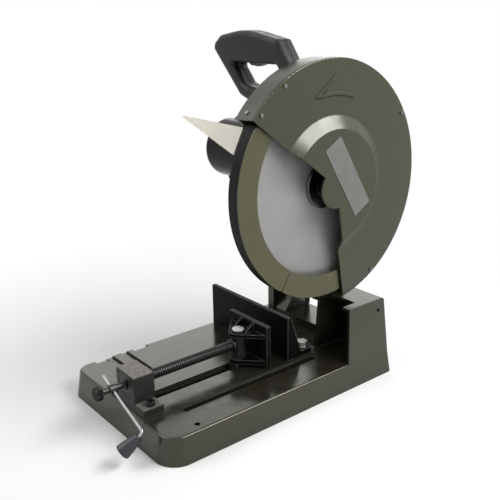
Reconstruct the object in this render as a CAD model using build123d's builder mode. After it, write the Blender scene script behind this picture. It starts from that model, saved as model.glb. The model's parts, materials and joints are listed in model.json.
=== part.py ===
from build123d import *
import os
from math import atan2, cos, degrees, hypot, pi, radians, sin, sqrt, tan

# Dry-cut metal saw. Millimetres. +X is the operator's right, +Y the rear, +Z up.
# The origin is the middle of the bench-bolt pattern, on the floor.

# Base casting
BASE_WIDTH = 303.2
BASE_LENGTH = 465.4
SIDE_LEAN = 7.5
REAR_LEAN = 2.2
DECK_Z = 45.0
RIGHT_DECK_Z = 43.0
CAVITY_Z = 35.0
WALL = 5.0
RIDGE_X = 76.5
FRONT_LEFT_R = 30.0
FRONT_RIGHT_R = 36.0
DECK_EDGE_R = 4.0
BENCH_X = 129.0
BENCH_Y = 167.5
BENCH_HOLE_R = 4.5
BENCH_BOSS_R = 11.0

# Blade slot, vise slot and the keyways for the other places of the vise block
BLADE_X = 88.6
BLADE_SLOT_X = 85.4
BLADE_SLOT_W = 11.6
BLADE_SLOT_Y = (-162.6, 109.5)
VISE_X = 21.0
VISE_SLOT_W = 22.0
VISE_SLOT_Y = (-206.0, 52.0)
KEYWAY_X = (-150.0, -34.0)
KEYWAYS_Y = ((-168.0, -155.0), (-139.0, -127.0))
KEYWAY_DEPTH = 4.0
EDGE_POCKETS_Y = ((-190.0, -168.0), (-117.0, -88.0))
EDGE_POCKET_X = -134.0
EDGE_POCKET_Z = 37.0

# Rear of the base: raised step, pivot post and chip box
STEP_X = (-100.0, 62.0)
STEP_Y = (168.0, 229.0)
STEP_Z = 67.0
STEP_WALL = 6.0
POST_X = (-100.0, -54.0)
POST_BOSS_R = 21.0
POST_SHOULDER = ((182.0, 87.0), (190.0, 112.0))
POST_RIB_X = -84.0
POST_RIB_Y = 164.5
POST_RIB_Z = 112.0
BOX_JOIN_Z = 38.0
BOX_LEFT_X = 60.0
BOX_TOP_RIGHT_X = 135.6
BOX_FRONT_Y = 133.0
BOX_TOP_FRONT_Y = 141.0
BOX_TOP_REAR_Y = 226.0
BOX_TOP_Z = 137.5
BOX_EDGE_R = 3.0
NOTCH_RIGHT_X = 118.5
NOTCH_REAR_Y = 172.0

# Swing of the head about the pivot shaft, as (y, z)
PIVOT = (210.0, 119.0)
SHAFT_R = 10.0
SHAFT_END_X = 130.5
PIVOT_SCREW_R = 2.5
PIVOT_HEAD_R = 4.1
PIVOT_HEAD_T = 6.0
ARBOR = (118.9, 346.3)
HUB_X = (-11.5, 50.0)
HUB_R = 24.0
BUSH_R = 13.0
BUSH_LENGTH = 18.0
RUNNING_GAP = 0.05
ARM_X = (6.0, 50.0)
ARM_POCKET = 14.0
FLANGE_X = (14.0, 54.0)
ARM_FLANGE_T = 165.0
FLANGE_T = 12.0
FLANGE_S = 44.0
ARM_BOLT_S = 36.5
ARM_BOLTS_X = (22.0, 46.0)
ARM_BOLT_R = 4.0
ARM_BOLT_GRIP = 14.0
ARM_HEAD_R = 6.5
ARM_HEAD_T = 8.0

# Return spring round the pivot shaft, and the peg it pushes on
SPRING_MEAN_R = 16.0
SPRING_WIRE_R = 2.25
SPRING_PITCH = 5.2
SPRING_TURNS = 6
SPRING_X = -48.2
SPRING_LEG = 26.0
PEG_R = 4.0
PEG_RISE = 18.0

# Depth stop
STOP = (43.0, 178.0)
STOP_TOP_Z = 108.0
STOP_R = 4.0
STOP_HEX_R = 7.4
STOP_HEX_T = 6.0

# Gears between motor and blade spindle
GEAR_MODULE = 1.5
GEAR_TEETH = 65
PINION_TEETH = 10
GEAR_X = (34.0, 46.0)
PINION_X = (32.0, 48.0)
MOTOR_LEAN = 132.9
BACKLASH = 0.3

# Gear case and cover
CASE_X = (14.0, 54.0)
CASE_R = 57.0
CASE_MOTOR_R = 54.0
CASE_WALL = 5.0
CASE_BACK = 6.0
PINION_ROOM_R = 22.0
COVER_T = 8.0
COVER_SCREW_R = 2.0
COVER_SCREW_INSET = 3.4
SHOULDER_R = 46.0
NOSE_R = 34.0
NOSE_X = 84.0
SEAL_R = 16.0
CIRCLIP_X = (82.25, 83.45)
CIRCLIP_R = (32.5, 37.5)
SADDLE_Z = 452.0
SADDLE_X = (16.0, 54.0)
SADDLE_DEPTH = 40.0

# Bearings: limits along X, shaft radius, outer radius
REAR_BEARING = ((17.0, 27.0), 8.0, 16.0)
FRONT_BEARING = ((60.0, 75.0), 14.0, 24.0)
MOTOR_FRONT_BEARING = ((14.0, 24.0), 6.0, 14.0)
MOTOR_REAR_BEARING = ((-107.0, -98.0), 5.0, 13.0)

# Motor
MOTOR_R = 50.0
MOTOR_X = (-96.0, 14.0)
MOTOR_END_X = -112.0
MOTOR_WALL = 4.0
MOTOR_SHAFT_R = 6.0
MOTOR_VENTS = 12
ROTOR_X = (-62.0, -12.0)
ROTOR_R = 24.0
COMMUTATOR_X = (-90.0, -68.0)
COMMUTATOR_R = 14.0
FAN_X = (-4.0, 7.5)
FAN_R = 42.0
BRUSH_X = -79.0
BRUSH_ANGLES = (80.0, 260.0)
BRUSH_R = 4.0
BRUSH_CAP_R = 7.0

# Blade and what clamps it
BLADE_R = 177.8
BLADE_T = 2.2
BLADE_TEETH = 72
BLADE_BORE_R = 12.7
TOOTH_DEPTH = 6.0
FLANGE_R = 30.0
FLANGE_BACK_X = 84.4
OUTER_FLANGE_R = 38.0
OUTER_FLANGE_T = 5.0
ARBOR_BOLT_R = 5.0
ARBOR_HEX_R = 9.8
ARBOR_HEX_T = 8.0

# Guards, angles in degrees from +Y towards +Z, seen from the operator's right
GUARD_X = (67.15, 108.15)
GUARD_R = 197.7
GUARD_T = 3.0
GUARD_START = -80.0
GUARD_END = 143.2
GUARD_HUB_R = 60.0
DOME_FOOT_R = 112.0
DOME_TOP_R = 91.5
DOME_TOP_X = 121.0
DOME_ROUND_R = 3.0
COVER_EDGE_R = 1.5
SEAM = 0.8
TAB_R = 33.0
GUARD_SCREW_PCR = 190.2
GUARD_SCREW_ANGLES = (139.0, 121.5, 32.0, -58.0)
GUARD_BOSS_R = 4.9
GUARD_SCREW_R = 2.0
GUARD_BOLT_PCR = 40.0
GUARD_BOLT_R = 2.4
RIM_SCREW = (86.0, 140.0)
ARROW_BAND_R = (140.7, 148.5)
ARROW_BAND = (72.0, 101.0)
ARROW_HEAD = ((-41.7, 139.4), (7.6, 176.9), (10.9, 172.6), (-25.0, 145.0), (-25.0, 138.5))
ARROW_RISE = 2.2
ARROW_TAPER = 35.0
LABEL_SIZE = (134.0, 38.0)
LABEL_OFFSET = (23.3, 13.7)
LABEL_AXIS = (0.528, -0.849)
LABEL_T = 0.8
LOWER_X = (80.0, 102.9)
LOWER_R = 184.0
LOWER_RING_R = 148.0
LOWER_T = 2.0
LOWER_START = 143.5
LOWER_END = 279.5
LOWER_SPLIT = 237.0
LOWER_GAP = 0.25
LOWER_HUB_R = 50.0
SPACER_R = 36.2

# Clear chip shield: its upper right corner, how far it reaches left and down
SHIELD_CORNER = (69.0, -24.0, 449.0)
SHIELD_REACH = 155.0
SHIELD_DROP = 42.5
SHIELD_LEAN = 26.57
SHIELD_T = 3.0
SHIELD_SCREWS = ((16.0, -10.0), (16.0, -25.0))

# Handle across the saw, corners as (x, z, rounding)
HANDLE_Y = 86.0
HANDLE_HALF_W = 18.0
HANDLE_WALL = 4.5
HANDLE_EDGE_R = 7.0
HANDLE_OUTLINE = (
    (-129.0, 551.0, 7.0),
    (-126.0, 562.0, 9.0),
    (-110.0, 574.0, 14.0),
    (-48.0, 584.0, 150.0),
    (31.0, 569.0, 3.0),
    (63.0, 526.0, 8.0),
    (63.0, 452.0, 3.0),
    (16.0, 452.0, 6.0),
    (-60.0, 480.0, 12.0),
)
HANDLE_OPENING = (
    (-82.0, 531.5, 5.0),
    (30.0, 531.5, 6.0),
    (46.0, 512.0, 8.0),
    (46.0, 493.0, 7.0),
    (-36.0, 494.5, 20.0),
    (-54.0, 499.5, 10.0),
)
HANDLE_SCREWS = ((-112.0, 558.0), (24.0, 552.0), (-60.0, 493.0))
HANDLE_BOSS_R = 5.5
HANDLE_SCREW_R = 2.0
HANDLE_SCREW_DEPTH = 11.0
HANDLE_HEAD_R = 3.7
HANDLE_HEAD_T = 2.5
TONGUE_X = (37.0, 54.0)
TONGUE_TOP_Z = 487.0
TONGUE_SCREWS = ((46.0, 464.0), (46.0, 480.0))
TRIGGER_X = (-46.0, -13.0)
TRIGGER_HALF_W = 5.5
TRIGGER_TOP_Z = 540.5
TRIGGER_LEVER = ((0.0, 529.5), (4.0, 527.6), (22.0, 526.2), (28.0, 528.0), (33.0, 529.5))
TRIGGER_LIP = 2.5
TRIGGER_GAP = 0.5
TRIGGER_TRAVEL = 5.0
GLAND_X = 25.0
GLAND_Z = 472.0
GLAND_NECK_R = 6.0
CORD_R = 4.2

# Vise
SCREW_Z = 82.0
SCREW_R = 8.4
SCREW_NECK_R = 4.5
SCREW_NECK_Y = -227.0
SCREW_FRONT_Y = -266.0
SCREW_HUB_R = 7.5
JOURNAL_R = 5.0
JOURNAL_END_Y = -11.5
NUT_R = 12.0
BLOCK_HALF_W = 26.3
BLOCK_Y = (-222.0, -186.0)
BLOCK_TOP_Z = 101.0
BLOCK_EDGE_R = 2.0
FOOT_HALF_W = 50.5
FOOT_T = 13.0
BLOCK_BOLT_X = 41.5
BLOCK_BOLT_R = 4.0
SOCKET_HEAD_R = 6.5
TONGUE_HALF_W = 10.7
CRANK_Y = -243.3
CRANK_R = 2.5
CRANK_TILT = 22.2
CRANK_SHORT = 28.0
CRANK_LONG = 90.5
CRANK_BEND_R = 6.5
GRIP_ROLL = 40.5
GRIP_SET = 7.5
GRIP_LENGTH = 33.5
GRIP_WAIST = (18.0, 10.3)
GRIP_R = (5.5, 12.4)
GRIP_EDGE_R = 2.5
GRIP_END_T = 8.0
KNOB_Y = (-273.0, -261.0)
KNOB_R = 10.8
KNOB_EDGE = 1.5
COLLAR_R = 11.0
COLLAR_Y = (-21.8, -17.3)
BARREL_R = 12.5
BARREL_Z = (58.6, 98.0)
JAW_FACE_Y = 23.5
JAW_T = 8.5
JAW_HALF_W = 50.0
JAW_Z = (46.0, 121.0)
JAW_WEBS_Z = ((50.0, 58.3), (98.3, 105.0))
JAW_BOSS_R = 17.0
JAW_RIB = (13.0, 17.0)
PIN = (VISE_X, -4.5)
PIN_R = 6.0
PIN_HEAD_R = 11.0
PIN_HEAD_Z = (105.3, 109.0)
SHOE_Y = (-18.5, 9.5)
SHOE_Z = (30.0, 34.6, 49.6)
SHOE_HALF_W = 19.0

# Fence
FENCE_X = (-140.0, 72.0)
FENCE_Y = 60.5
FENCE_T = 8.0
FENCE_TOP_Z = 124.0
FENCE_FOOT_X = -22.0
FENCE_FOOT_Y = 122.0
FENCE_FOOT_T = 10.0
FENCE_GUSSETS_X = ((-22.0, -14.0), (27.0, 35.0), (64.0, 72.0))
FENCE_GUSSET_Y = 91.0
FENCE_PIVOT = (59.0, 105.0)
FENCE_LOCK_RADIUS = 60.0
FENCE_SWING = 25.0
FENCE_BOLT_R = 6.0
FENCE_WASHER_R = 10.0
FENCE_HEX_R = 9.8
FENCE_HEX_T = 8.7
LIFT = 0.3

os.makedirs("parts", exist_ok=True)


def side(x):
    """Plane across X, drawn in (y, z)."""
    return Plane.YZ.offset(x)


def front(y):
    """Plane across Y, drawn in (x, z), facing the operator."""
    return Plane.XZ.offset(-y)


def level(z):
    """Plane across Z, drawn in (x, y)."""
    return Plane.XY.offset(z)


def polar(centre, radius, angle):
    """Point at an angle round a centre."""
    return (centre[0] + radius * cos(radians(angle)), centre[1] + radius * sin(radians(angle)))


def rod_x(x0, x1, centre, radius, mode=Mode.ADD):
    """Cylinder along X about (y, z)."""
    with BuildSketch(side(x0)) as disc:
        with Locations(centre):
            Circle(radius)
    extrude(disc.sketch, amount=x1 - x0, mode=mode)


def rod_y(y0, y1, centre, radius, mode=Mode.ADD):
    """Cylinder along Y about (x, z)."""
    with BuildSketch(front(y0)) as disc:
        with Locations(centre):
            Circle(radius)
    extrude(disc.sketch, amount=y0 - y1, mode=mode)


def rod_z(z0, z1, centre, radius, mode=Mode.ADD):
    """Cylinder along Z about (x, y)."""
    with BuildSketch(level(z0)) as disc:
        with Locations(centre):
            Circle(radius)
    extrude(disc.sketch, amount=z1 - z0, mode=mode)


def rod(start, direction, length, radius, mode=Mode.ADD):
    """Cylinder from a point along any direction."""
    with BuildSketch(Plane(origin=start, z_dir=direction)) as disc:
        Circle(radius)
    extrude(disc.sketch, amount=length, mode=mode)


def hex_prism(plane, centre, radius, amount, mode=Mode.ADD):
    """Hexagon on a plane, radius to its corners."""
    with BuildSketch(plane) as hexagon:
        with Locations(centre):
            RegularPolygon(radius, 6)
    extrude(hexagon.sketch, amount=amount, mode=mode)


def block(xs, ys, zs, mode=Mode.ADD):
    """Box between three pairs of limits."""
    middle = ((xs[0] + xs[1]) / 2, (ys[0] + ys[1]) / 2, (zs[0] + zs[1]) / 2)
    with Locations(middle):
        Box(xs[1] - xs[0], ys[1] - ys[0], zs[1] - zs[0], mode=mode)


def plate_x(x0, x1, points, mode=Mode.ADD):
    """Flat shape of (y, z) points, from x0 to x1."""
    with BuildSketch(side(x0)) as shape:
        Polygon(*points, align=None)
    extrude(shape.sketch, amount=x1 - x0, mode=mode)


def turned_x(centre, profile, mode=Mode.ADD):
    """Profile of (x, radius) points turned about an axis along X through (y, z)."""
    plane = Plane(origin=(0, *centre), x_dir=(1, 0, 0), z_dir=(0, -1, 0))
    with BuildSketch(plane) as half:
        Polygon(*profile, align=None)
    revolve(half.sketch, axis=Axis((0, *centre), (1, 0, 0)), mode=mode)


def hull_x(x0, x1, circles, mode=Mode.ADD):
    """Shape stretched round circles given as ((y, z), radius), from x0 to x1."""
    with BuildSketch(side(x0)) as shape:
        for centre, radius in circles:
            with Locations(centre):
                Circle(radius)
        make_hull(shape.edges())
    extrude(shape.sketch, amount=x1 - x0, mode=mode)


def sector(centre, start, end, radius):
    """Corner points of a wedge that covers the angles from start to end."""
    steps = 4
    reach = radius / cos(radians((end - start) / steps / 2))
    arc = [polar(centre, reach, start + (end - start) * i / steps) for i in range(steps + 1)]
    return [centre, *arc]


def cut_sector(xs, start, end, keep_radius):
    """Takes away the angles from start to end about the arbor, outside a kept disc."""
    with BuildSketch(side(xs[0])) as wedge:
        Polygon(*sector(ARBOR, start, end, GUARD_R + 5), align=None)
        with Locations(ARBOR):
            Circle(keep_radius, mode=Mode.SUBTRACT)
    extrude(wedge.sketch, amount=xs[1] - xs[0], mode=Mode.SUBTRACT)


def save(piece, name):
    piece.part.label = name
    export_step(piece.part, f"parts/{name}.step")


# Base: one hollow casting with deck, step, pivot post and chip box
floor_x = BASE_WIDTH / 2
floor_y = BASE_LENGTH / 2
side_angle = degrees(atan2(SIDE_LEAN, DECK_Z))
box_right_x = floor_x - SIDE_LEAN * BOX_JOIN_Z / DECK_Z
box_rear_y = floor_y - REAR_LEAN * BOX_JOIN_Z / DECK_Z


def base_rim(rear, inset):
    """Outline of the base on the floor up to a rear limit, moved inwards by inset."""
    half = floor_x - inset
    fore = -floor_y + inset
    with BuildSketch() as rim:
        with Locations((0, (rear + fore) / 2)):
            Rectangle(2 * half, rear - fore)
        fillet(rim.vertices().group_by(Axis.Y)[0].sort_by(Axis.X)[0], radius=FRONT_LEFT_R - inset)
        fillet(rim.vertices().group_by(Axis.Y)[0].sort_by(Axis.X)[-1], radius=FRONT_RIGHT_R - inset)
    return rim.sketch


def base_form(form, top_z):
    """Leaning block of the base up to a deck height, its top edges rounded."""
    extrude(base_rim(floor_y + SIDE_LEAN, 0), amount=top_z, taper=side_angle)
    beyond_y = floor_y + 2 * SIDE_LEAN
    rear_y = floor_y - REAR_LEAN * top_z / DECK_Z
    rear_cut = [(floor_y, 0), (rear_y, top_z), (beyond_y, top_z), (beyond_y, 0)]
    plate_x(-floor_x - 1, floor_x + 1, rear_cut, Mode.SUBTRACT)
    fillet(form.edges().group_by(Axis.Z)[-1], radius=DECK_EDGE_R)


def box_rim(z, xs, ys):
    """Rectangle between limits at a height."""
    with BuildSketch(level(z)) as rim:
        with Locations(((xs[0] + xs[1]) / 2, (ys[0] + ys[1]) / 2)):
            Rectangle(xs[1] - xs[0], ys[1] - ys[0])
    return rim.sketch


box_inside_y = BOX_FRONT_Y - 9
block_mid_y = sum(BLOCK_Y) / 2
block_bolts = [(VISE_X - BLOCK_BOLT_X, block_mid_y), (VISE_X + BLOCK_BOLT_X, block_mid_y)]
fence_bolt_places = [FENCE_PIVOT, (FENCE_PIVOT[0] - FENCE_LOCK_RADIUS, FENCE_PIVOT[1])]
with BuildPart() as left_deck:
    base_form(left_deck, DECK_Z)
    block((RIDGE_X, floor_x), (-floor_y, floor_y), (-1, DECK_Z + 1), Mode.SUBTRACT)

with BuildPart() as base:
    base_form(base, RIGHT_DECK_Z)
    add(left_deck.part)
    block(STEP_X, STEP_Y, (CAVITY_Z, STEP_Z))
    loft(
        sections=[
            box_rim(BOX_JOIN_Z, (BOX_LEFT_X, box_right_x), (BOX_FRONT_Y, box_rear_y)),
            box_rim(BOX_TOP_Z, (BOX_LEFT_X, BOX_TOP_RIGHT_X), (BOX_TOP_FRONT_Y, BOX_TOP_REAR_Y)),
        ]
    )
    fillet(base.edges().group_by(Axis.Z)[-1].sort_by(Axis.Y)[1:], radius=BOX_EDGE_R)
    post_foot_z = STEP_Z - 8
    post = [(STEP_Y[0], post_foot_z), (STEP_Y[0], STEP_Z), *POST_SHOULDER]
    post += [(STEP_Y[1], POST_SHOULDER[1][1]), (STEP_Y[1], post_foot_z)]
    plate_x(*POST_X, post)
    block((POST_X[0], POST_RIB_X), (POST_RIB_Y, PIVOT[0]), (CAVITY_Z, POST_RIB_Z))
    rod_x(*POST_X, PIVOT, POST_BOSS_R)
    # Hollow underside, then the inside of the chip box
    extrude(base_rim(floor_y - WALL, WALL), amount=CAVITY_Z, taper=side_angle, mode=Mode.SUBTRACT)
    block(
        (STEP_X[0] + STEP_WALL, STEP_X[1] - STEP_WALL),
        (STEP_Y[0] + STEP_WALL, STEP_Y[1] - STEP_WALL),
        (CAVITY_Z - 1, STEP_Z - STEP_WALL),
        Mode.SUBTRACT,
    )
    inside_left = BOX_LEFT_X + WALL
    inside_low = box_rim(RIGHT_DECK_Z, (inside_left, box_right_x - WALL), (box_inside_y, box_rear_y - WALL))
    top_xs = (inside_left, BOX_TOP_RIGHT_X - WALL)
    inside_high = box_rim(BOX_TOP_Z - WALL, top_xs, (box_inside_y, BOX_TOP_REAR_Y - WALL))
    loft(sections=[inside_low, inside_high], mode=Mode.SUBTRACT)
    block(
        (inside_left, NOTCH_RIGHT_X),
        (BOX_FRONT_Y, NOTCH_REAR_Y),
        (BOX_TOP_Z - 2 * WALL, BOX_TOP_Z + 1),
        Mode.SUBTRACT,
    )
    # Bench bolt bosses and their holes
    for x in (-BENCH_X, BENCH_X):
        for y in (-BENCH_Y, BENCH_Y):
            rod_z(0, CAVITY_Z + 1, (x, y), BENCH_BOSS_R)
            rod_z(-1, DECK_Z + 1, (x, y), BENCH_HOLE_R, Mode.SUBTRACT)
    # Slots, keyways and edge pockets in the deck
    with BuildSketch(level(CAVITY_Z - 2)) as slots:
        with Locations((BLADE_SLOT_X, sum(BLADE_SLOT_Y) / 2)):
            SlotOverall(BLADE_SLOT_Y[1] - BLADE_SLOT_Y[0], BLADE_SLOT_W, rotation=90)
        with Locations((VISE_X, sum(VISE_SLOT_Y) / 2)):
            SlotOverall(VISE_SLOT_Y[1] - VISE_SLOT_Y[0], VISE_SLOT_W, rotation=90)
    extrude(slots.sketch, amount=DECK_Z - CAVITY_Z + 4, mode=Mode.SUBTRACT)
    for ys in KEYWAYS_Y:
        block(KEYWAY_X, ys, (DECK_Z - KEYWAY_DEPTH, DECK_Z + 1), Mode.SUBTRACT)
    for ys in EDGE_POCKETS_Y:
        block((-floor_x, EDGE_POCKET_X), ys, (EDGE_POCKET_Z, DECK_Z + 1), Mode.SUBTRACT)
    # Bores for the pivot shaft and its screw, and tapped holes
    rod_x(POST_X[0] - 1, inside_left + 1, PIVOT, SHAFT_R, Mode.SUBTRACT)
    rod_x(BOX_LEFT_X, floor_x, PIVOT, PIVOT_HEAD_R, Mode.SUBTRACT)
    for centre in fence_bolt_places:
        rod_z(CAVITY_Z - 1, DECK_Z + 1, centre, FENCE_BOLT_R, Mode.SUBTRACT)
    for centre in block_bolts:
        rod_z(CAVITY_Z - 1, DECK_Z + 1, centre, BLOCK_BOLT_R, Mode.SUBTRACT)
    rod_z(STEP_Z - STEP_WALL - 1, STEP_Z + 1, STOP, STOP_R, Mode.SUBTRACT)
save(base, "base")

# Pivot shaft, its retaining screw and the depth stop
with BuildPart() as pivot_shaft:
    rod_x(POST_X[0], SHAFT_END_X, PIVOT, SHAFT_R)
    chamfer(pivot_shaft.edges(), 1)
    rod_x(SHAFT_END_X - 12, SHAFT_END_X, PIVOT, PIVOT_SCREW_R, Mode.SUBTRACT)
save(pivot_shaft, "pivot_shaft")

with BuildPart() as pivot_screw:
    rod_x(SHAFT_END_X - 11, SHAFT_END_X, PIVOT, PIVOT_SCREW_R)
    rod_x(SHAFT_END_X, SHAFT_END_X + PIVOT_HEAD_T, PIVOT, PIVOT_HEAD_R)
    hex_prism(side(SHAFT_END_X + PIVOT_HEAD_T), PIVOT, 2.3, -2.5, Mode.SUBTRACT)
save(pivot_screw, "pivot_screw")

with BuildPart() as depth_stop:
    rod_z(STEP_Z - STEP_WALL, STOP_TOP_Z - STOP_HEX_T, STOP, STOP_R)
    for z in (STEP_Z, STOP_TOP_Z - STOP_HEX_T):
        hex_prism(level(z), STOP, STOP_HEX_R, STOP_HEX_T)
save(depth_stop, "depth_stop")


# Return spring: one wire, a coil of arcs with a straight leg at each end
def coil_point(turn):
    y, z = polar(PIVOT, SPRING_MEAN_R, 360 * turn)
    return Vector(SPRING_X + SPRING_PITCH * turn, y, z)


def coil_tangent(turn):
    angle = 2 * pi * turn
    run = 2 * pi * SPRING_MEAN_R
    return Vector(SPRING_PITCH, -run * sin(angle), run * cos(angle)).normalized()


def coil_join(start, end):
    """Point where the two arcs of one quarter turn meet."""
    p0, p1 = coil_point(start), coil_point(end)
    t0, t1 = coil_tangent(start), coil_tangent(end)
    chord = p1 - p0
    total = t0 + t1
    a = total.dot(total) - 4
    b = -2 * chord.dot(total)
    c = chord.dot(chord)
    reach = (-b - sqrt(b * b - 4 * a * c)) / (2 * a)
    return (p0 + t0 * reach + p1 - t1 * reach) / 2


leg_down = PIVOT[1] - STEP_Z - SPRING_WIRE_R - 0.2
leg_foot = coil_point(0) - coil_tangent(0) * leg_down
leg_tip = coil_point(SPRING_TURNS) + coil_tangent(SPRING_TURNS) * SPRING_LEG
with BuildPart() as return_spring:
    with BuildLine() as wire:
        Line(leg_foot, coil_point(0))
        for quarter in range(4 * SPRING_TURNS):
            start, end = quarter / 4, (quarter + 1) / 4
            middle = coil_join(start, end)
            first = TangentArc(coil_point(start), middle, tangent=coil_tangent(start))
            TangentArc(middle, coil_point(end), tangent=first % 1)
        Line(coil_point(SPRING_TURNS), leg_tip)
    with BuildSketch(Plane(origin=leg_foot, z_dir=coil_tangent(0))) as section:
        Circle(SPRING_WIRE_R)
    sweep(section.sketch, path=wire.wires()[0])
save(return_spring, "return_spring")
samples = 40
coil = [coil_point(i / samples) for i in range(SPRING_TURNS * samples + 1)]
gap = min(
    (coil[i] - coil[j]).length - 2 * SPRING_WIRE_R
    for i in range(len(coil))
    for j in range(i + samples // 2, len(coil))
)
print(f"return_spring least gap {gap:.2f} mm")

# Swing arm: hub on the shaft, pocketed beam and the flange that carries the gear case
arm_length = hypot(ARBOR[0] - PIVOT[0], ARBOR[1] - PIVOT[1])
arm_dir = ((ARBOR[0] - PIVOT[0]) / arm_length, (ARBOR[1] - PIVOT[1]) / arm_length)
arm_out = (arm_dir[1], -arm_dir[0])


def on_arm(t, s):
    """Point t along the arm from the pivot and s towards its rear, as (y, z)."""
    y = PIVOT[0] + t * arm_dir[0] + s * arm_out[0]
    z = PIVOT[1] + t * arm_dir[1] + s * arm_out[1]
    return (y, z)


def arm_plate(xs, points, mode=Mode.ADD):
    """Flat shape of (t, s) points along the arm."""
    plate_x(*xs, [on_arm(t, s) for t, s in points], mode=mode)


def arm_slab(low, high):
    """Flange as wide as the joint between arm and gear case."""
    arm_plate(FLANGE_X, [(low, -FLANGE_S), (high, -FLANGE_S), (high, FLANGE_S), (low, FLANGE_S)])


flange_top = ARM_FLANGE_T + FLANGE_T
seat_top = flange_top + 36
arm_bolt_places = [(x, s) for x in ARM_BOLTS_X for s in (-ARM_BOLT_S, ARM_BOLT_S)]
bush_ends = ((HUB_X[0], HUB_X[0] + BUSH_LENGTH), (HUB_X[1] - BUSH_LENGTH, HUB_X[1]))
peg = (PIVOT[0] + SPRING_MEAN_R + SPRING_WIRE_R + PEG_R + LIFT, PIVOT[1] + PEG_RISE)
peg_x = SPRING_X + SPRING_PITCH * SPRING_TURNS - SPRING_WIRE_R - 2
with BuildPart() as swing_arm:
    rod_x(*HUB_X, PIVOT, HUB_R)
    arm_plate(ARM_X, [(0, -20), (60, -16), (ARM_FLANGE_T, -29), (ARM_FLANGE_T, 29), (60, 18), (0, 21)])
    arm_slab(ARM_FLANGE_T, flange_top)
    pocket = [(34, -11), (62, -9), (152, -20), (152, 20), (62, 10), (34, 11)]
    for xs in ((ARM_X[0], ARM_X[0] + ARM_POCKET), (ARM_X[1] - ARM_POCKET, ARM_X[1])):
        arm_plate(xs, pocket, Mode.SUBTRACT)
    # Peg that the spring leg pushes on
    hull_x(HUB_X[0], HUB_X[0] + 10, [(PIVOT, HUB_R - 4), (peg, PEG_R + 2)])
    rod_x(peg_x, HUB_X[0], peg, PEG_R)
    rod_x(*HUB_X, PIVOT, SHAFT_R + 1, Mode.SUBTRACT)
    for xs in bush_ends:
        rod_x(*xs, PIVOT, BUSH_R, Mode.SUBTRACT)
    for x, s in arm_bolt_places:
        rod((x, *on_arm(ARM_FLANGE_T - 1, s)), (0, *arm_dir), FLANGE_T + 2, ARM_BOLT_R, Mode.SUBTRACT)
save(swing_arm, "swing_arm")

with BuildPart() as arm_bushes:
    for xs in bush_ends:
        rod_x(*xs, PIVOT, BUSH_R)
        rod_x(*xs, PIVOT, SHAFT_R + RUNNING_GAP, Mode.SUBTRACT)
save(arm_bushes, "arm_bushes")

with BuildPart() as arm_bolts:
    for x, s in arm_bolt_places:
        rod((x, *on_arm(ARM_FLANGE_T, s)), (0, *arm_dir), FLANGE_T + ARM_BOLT_GRIP, ARM_BOLT_R)
        rod((x, *on_arm(ARM_FLANGE_T - ARM_HEAD_T, s)), (0, *arm_dir), ARM_HEAD_T, ARM_HEAD_R)
save(arm_bolts, "arm_bolts")

# Gear case and its cover, which carries the nose for the guards
gear_r = GEAR_MODULE * GEAR_TEETH / 2
pinion_r = GEAR_MODULE * PINION_TEETH / 2
MOTOR = polar(ARBOR, gear_r + pinion_r, MOTOR_LEAN)
cover_x = CASE_X[1] + COVER_T
inside_x = CASE_X[0] + CASE_BACK
case_outline = [(ARBOR, CASE_R), (MOTOR, CASE_MOTOR_R)]
cover_screws = [polar(ARBOR, CASE_R - COVER_SCREW_INSET, a) for a in (205, 245, 325, 5)]
cover_screws += [polar(MOTOR, CASE_MOTOR_R - COVER_SCREW_INSET, a) for a in (85, 135, 180)]
guard_bolts = [polar(ARBOR, GUARD_BOLT_PCR, a) for a in (45, 135, 225, 315)]
handle_ys = (HANDLE_Y - HANDLE_HALF_W, HANDLE_Y + HANDLE_HALF_W)
tongue_ys = (handle_ys[0] + HANDLE_WALL, handle_ys[1] - HANDLE_WALL)
with BuildPart() as gear_case:
    hull_x(*CASE_X, case_outline)
    arm_slab(flange_top, seat_top)
    block(SADDLE_X, handle_ys, (SADDLE_Z - SADDLE_DEPTH, SADDLE_Z))
    block(TONGUE_X, tongue_ys, (SADDLE_Z, TONGUE_TOP_Z))
    for centre in TONGUE_SCREWS:
        rod_y(*tongue_ys, centre, HANDLE_SCREW_R, Mode.SUBTRACT)
    hull_x(inside_x, CASE_X[1], [(ARBOR, CASE_R - CASE_WALL), (MOTOR, PINION_ROOM_R)], Mode.SUBTRACT)
    rod_x(inside_x, REAR_BEARING[0][1], ARBOR, REAR_BEARING[2] + 5)
    rod_x(*REAR_BEARING[0], ARBOR, REAR_BEARING[2], Mode.SUBTRACT)
    rod_x(CASE_X[0], MOTOR_FRONT_BEARING[0][1] + 2, MOTOR, MOTOR_FRONT_BEARING[2] + 4)
    rod_x(*MOTOR_FRONT_BEARING[0], MOTOR, MOTOR_FRONT_BEARING[2], Mode.SUBTRACT)
    rod_x(CASE_X[0], MOTOR_FRONT_BEARING[0][1] + 3, MOTOR, pinion_r + 1.5, Mode.SUBTRACT)
    for x, s in arm_bolt_places:
        rod((x, *on_arm(flange_top, s)), (0, *arm_dir), ARM_BOLT_GRIP + 1, ARM_BOLT_R, Mode.SUBTRACT)
    for centre in cover_screws:
        rod_x(CASE_X[1] - 10, CASE_X[1], centre, COVER_SCREW_R, Mode.SUBTRACT)
save(gear_case, "gear_case")

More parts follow.
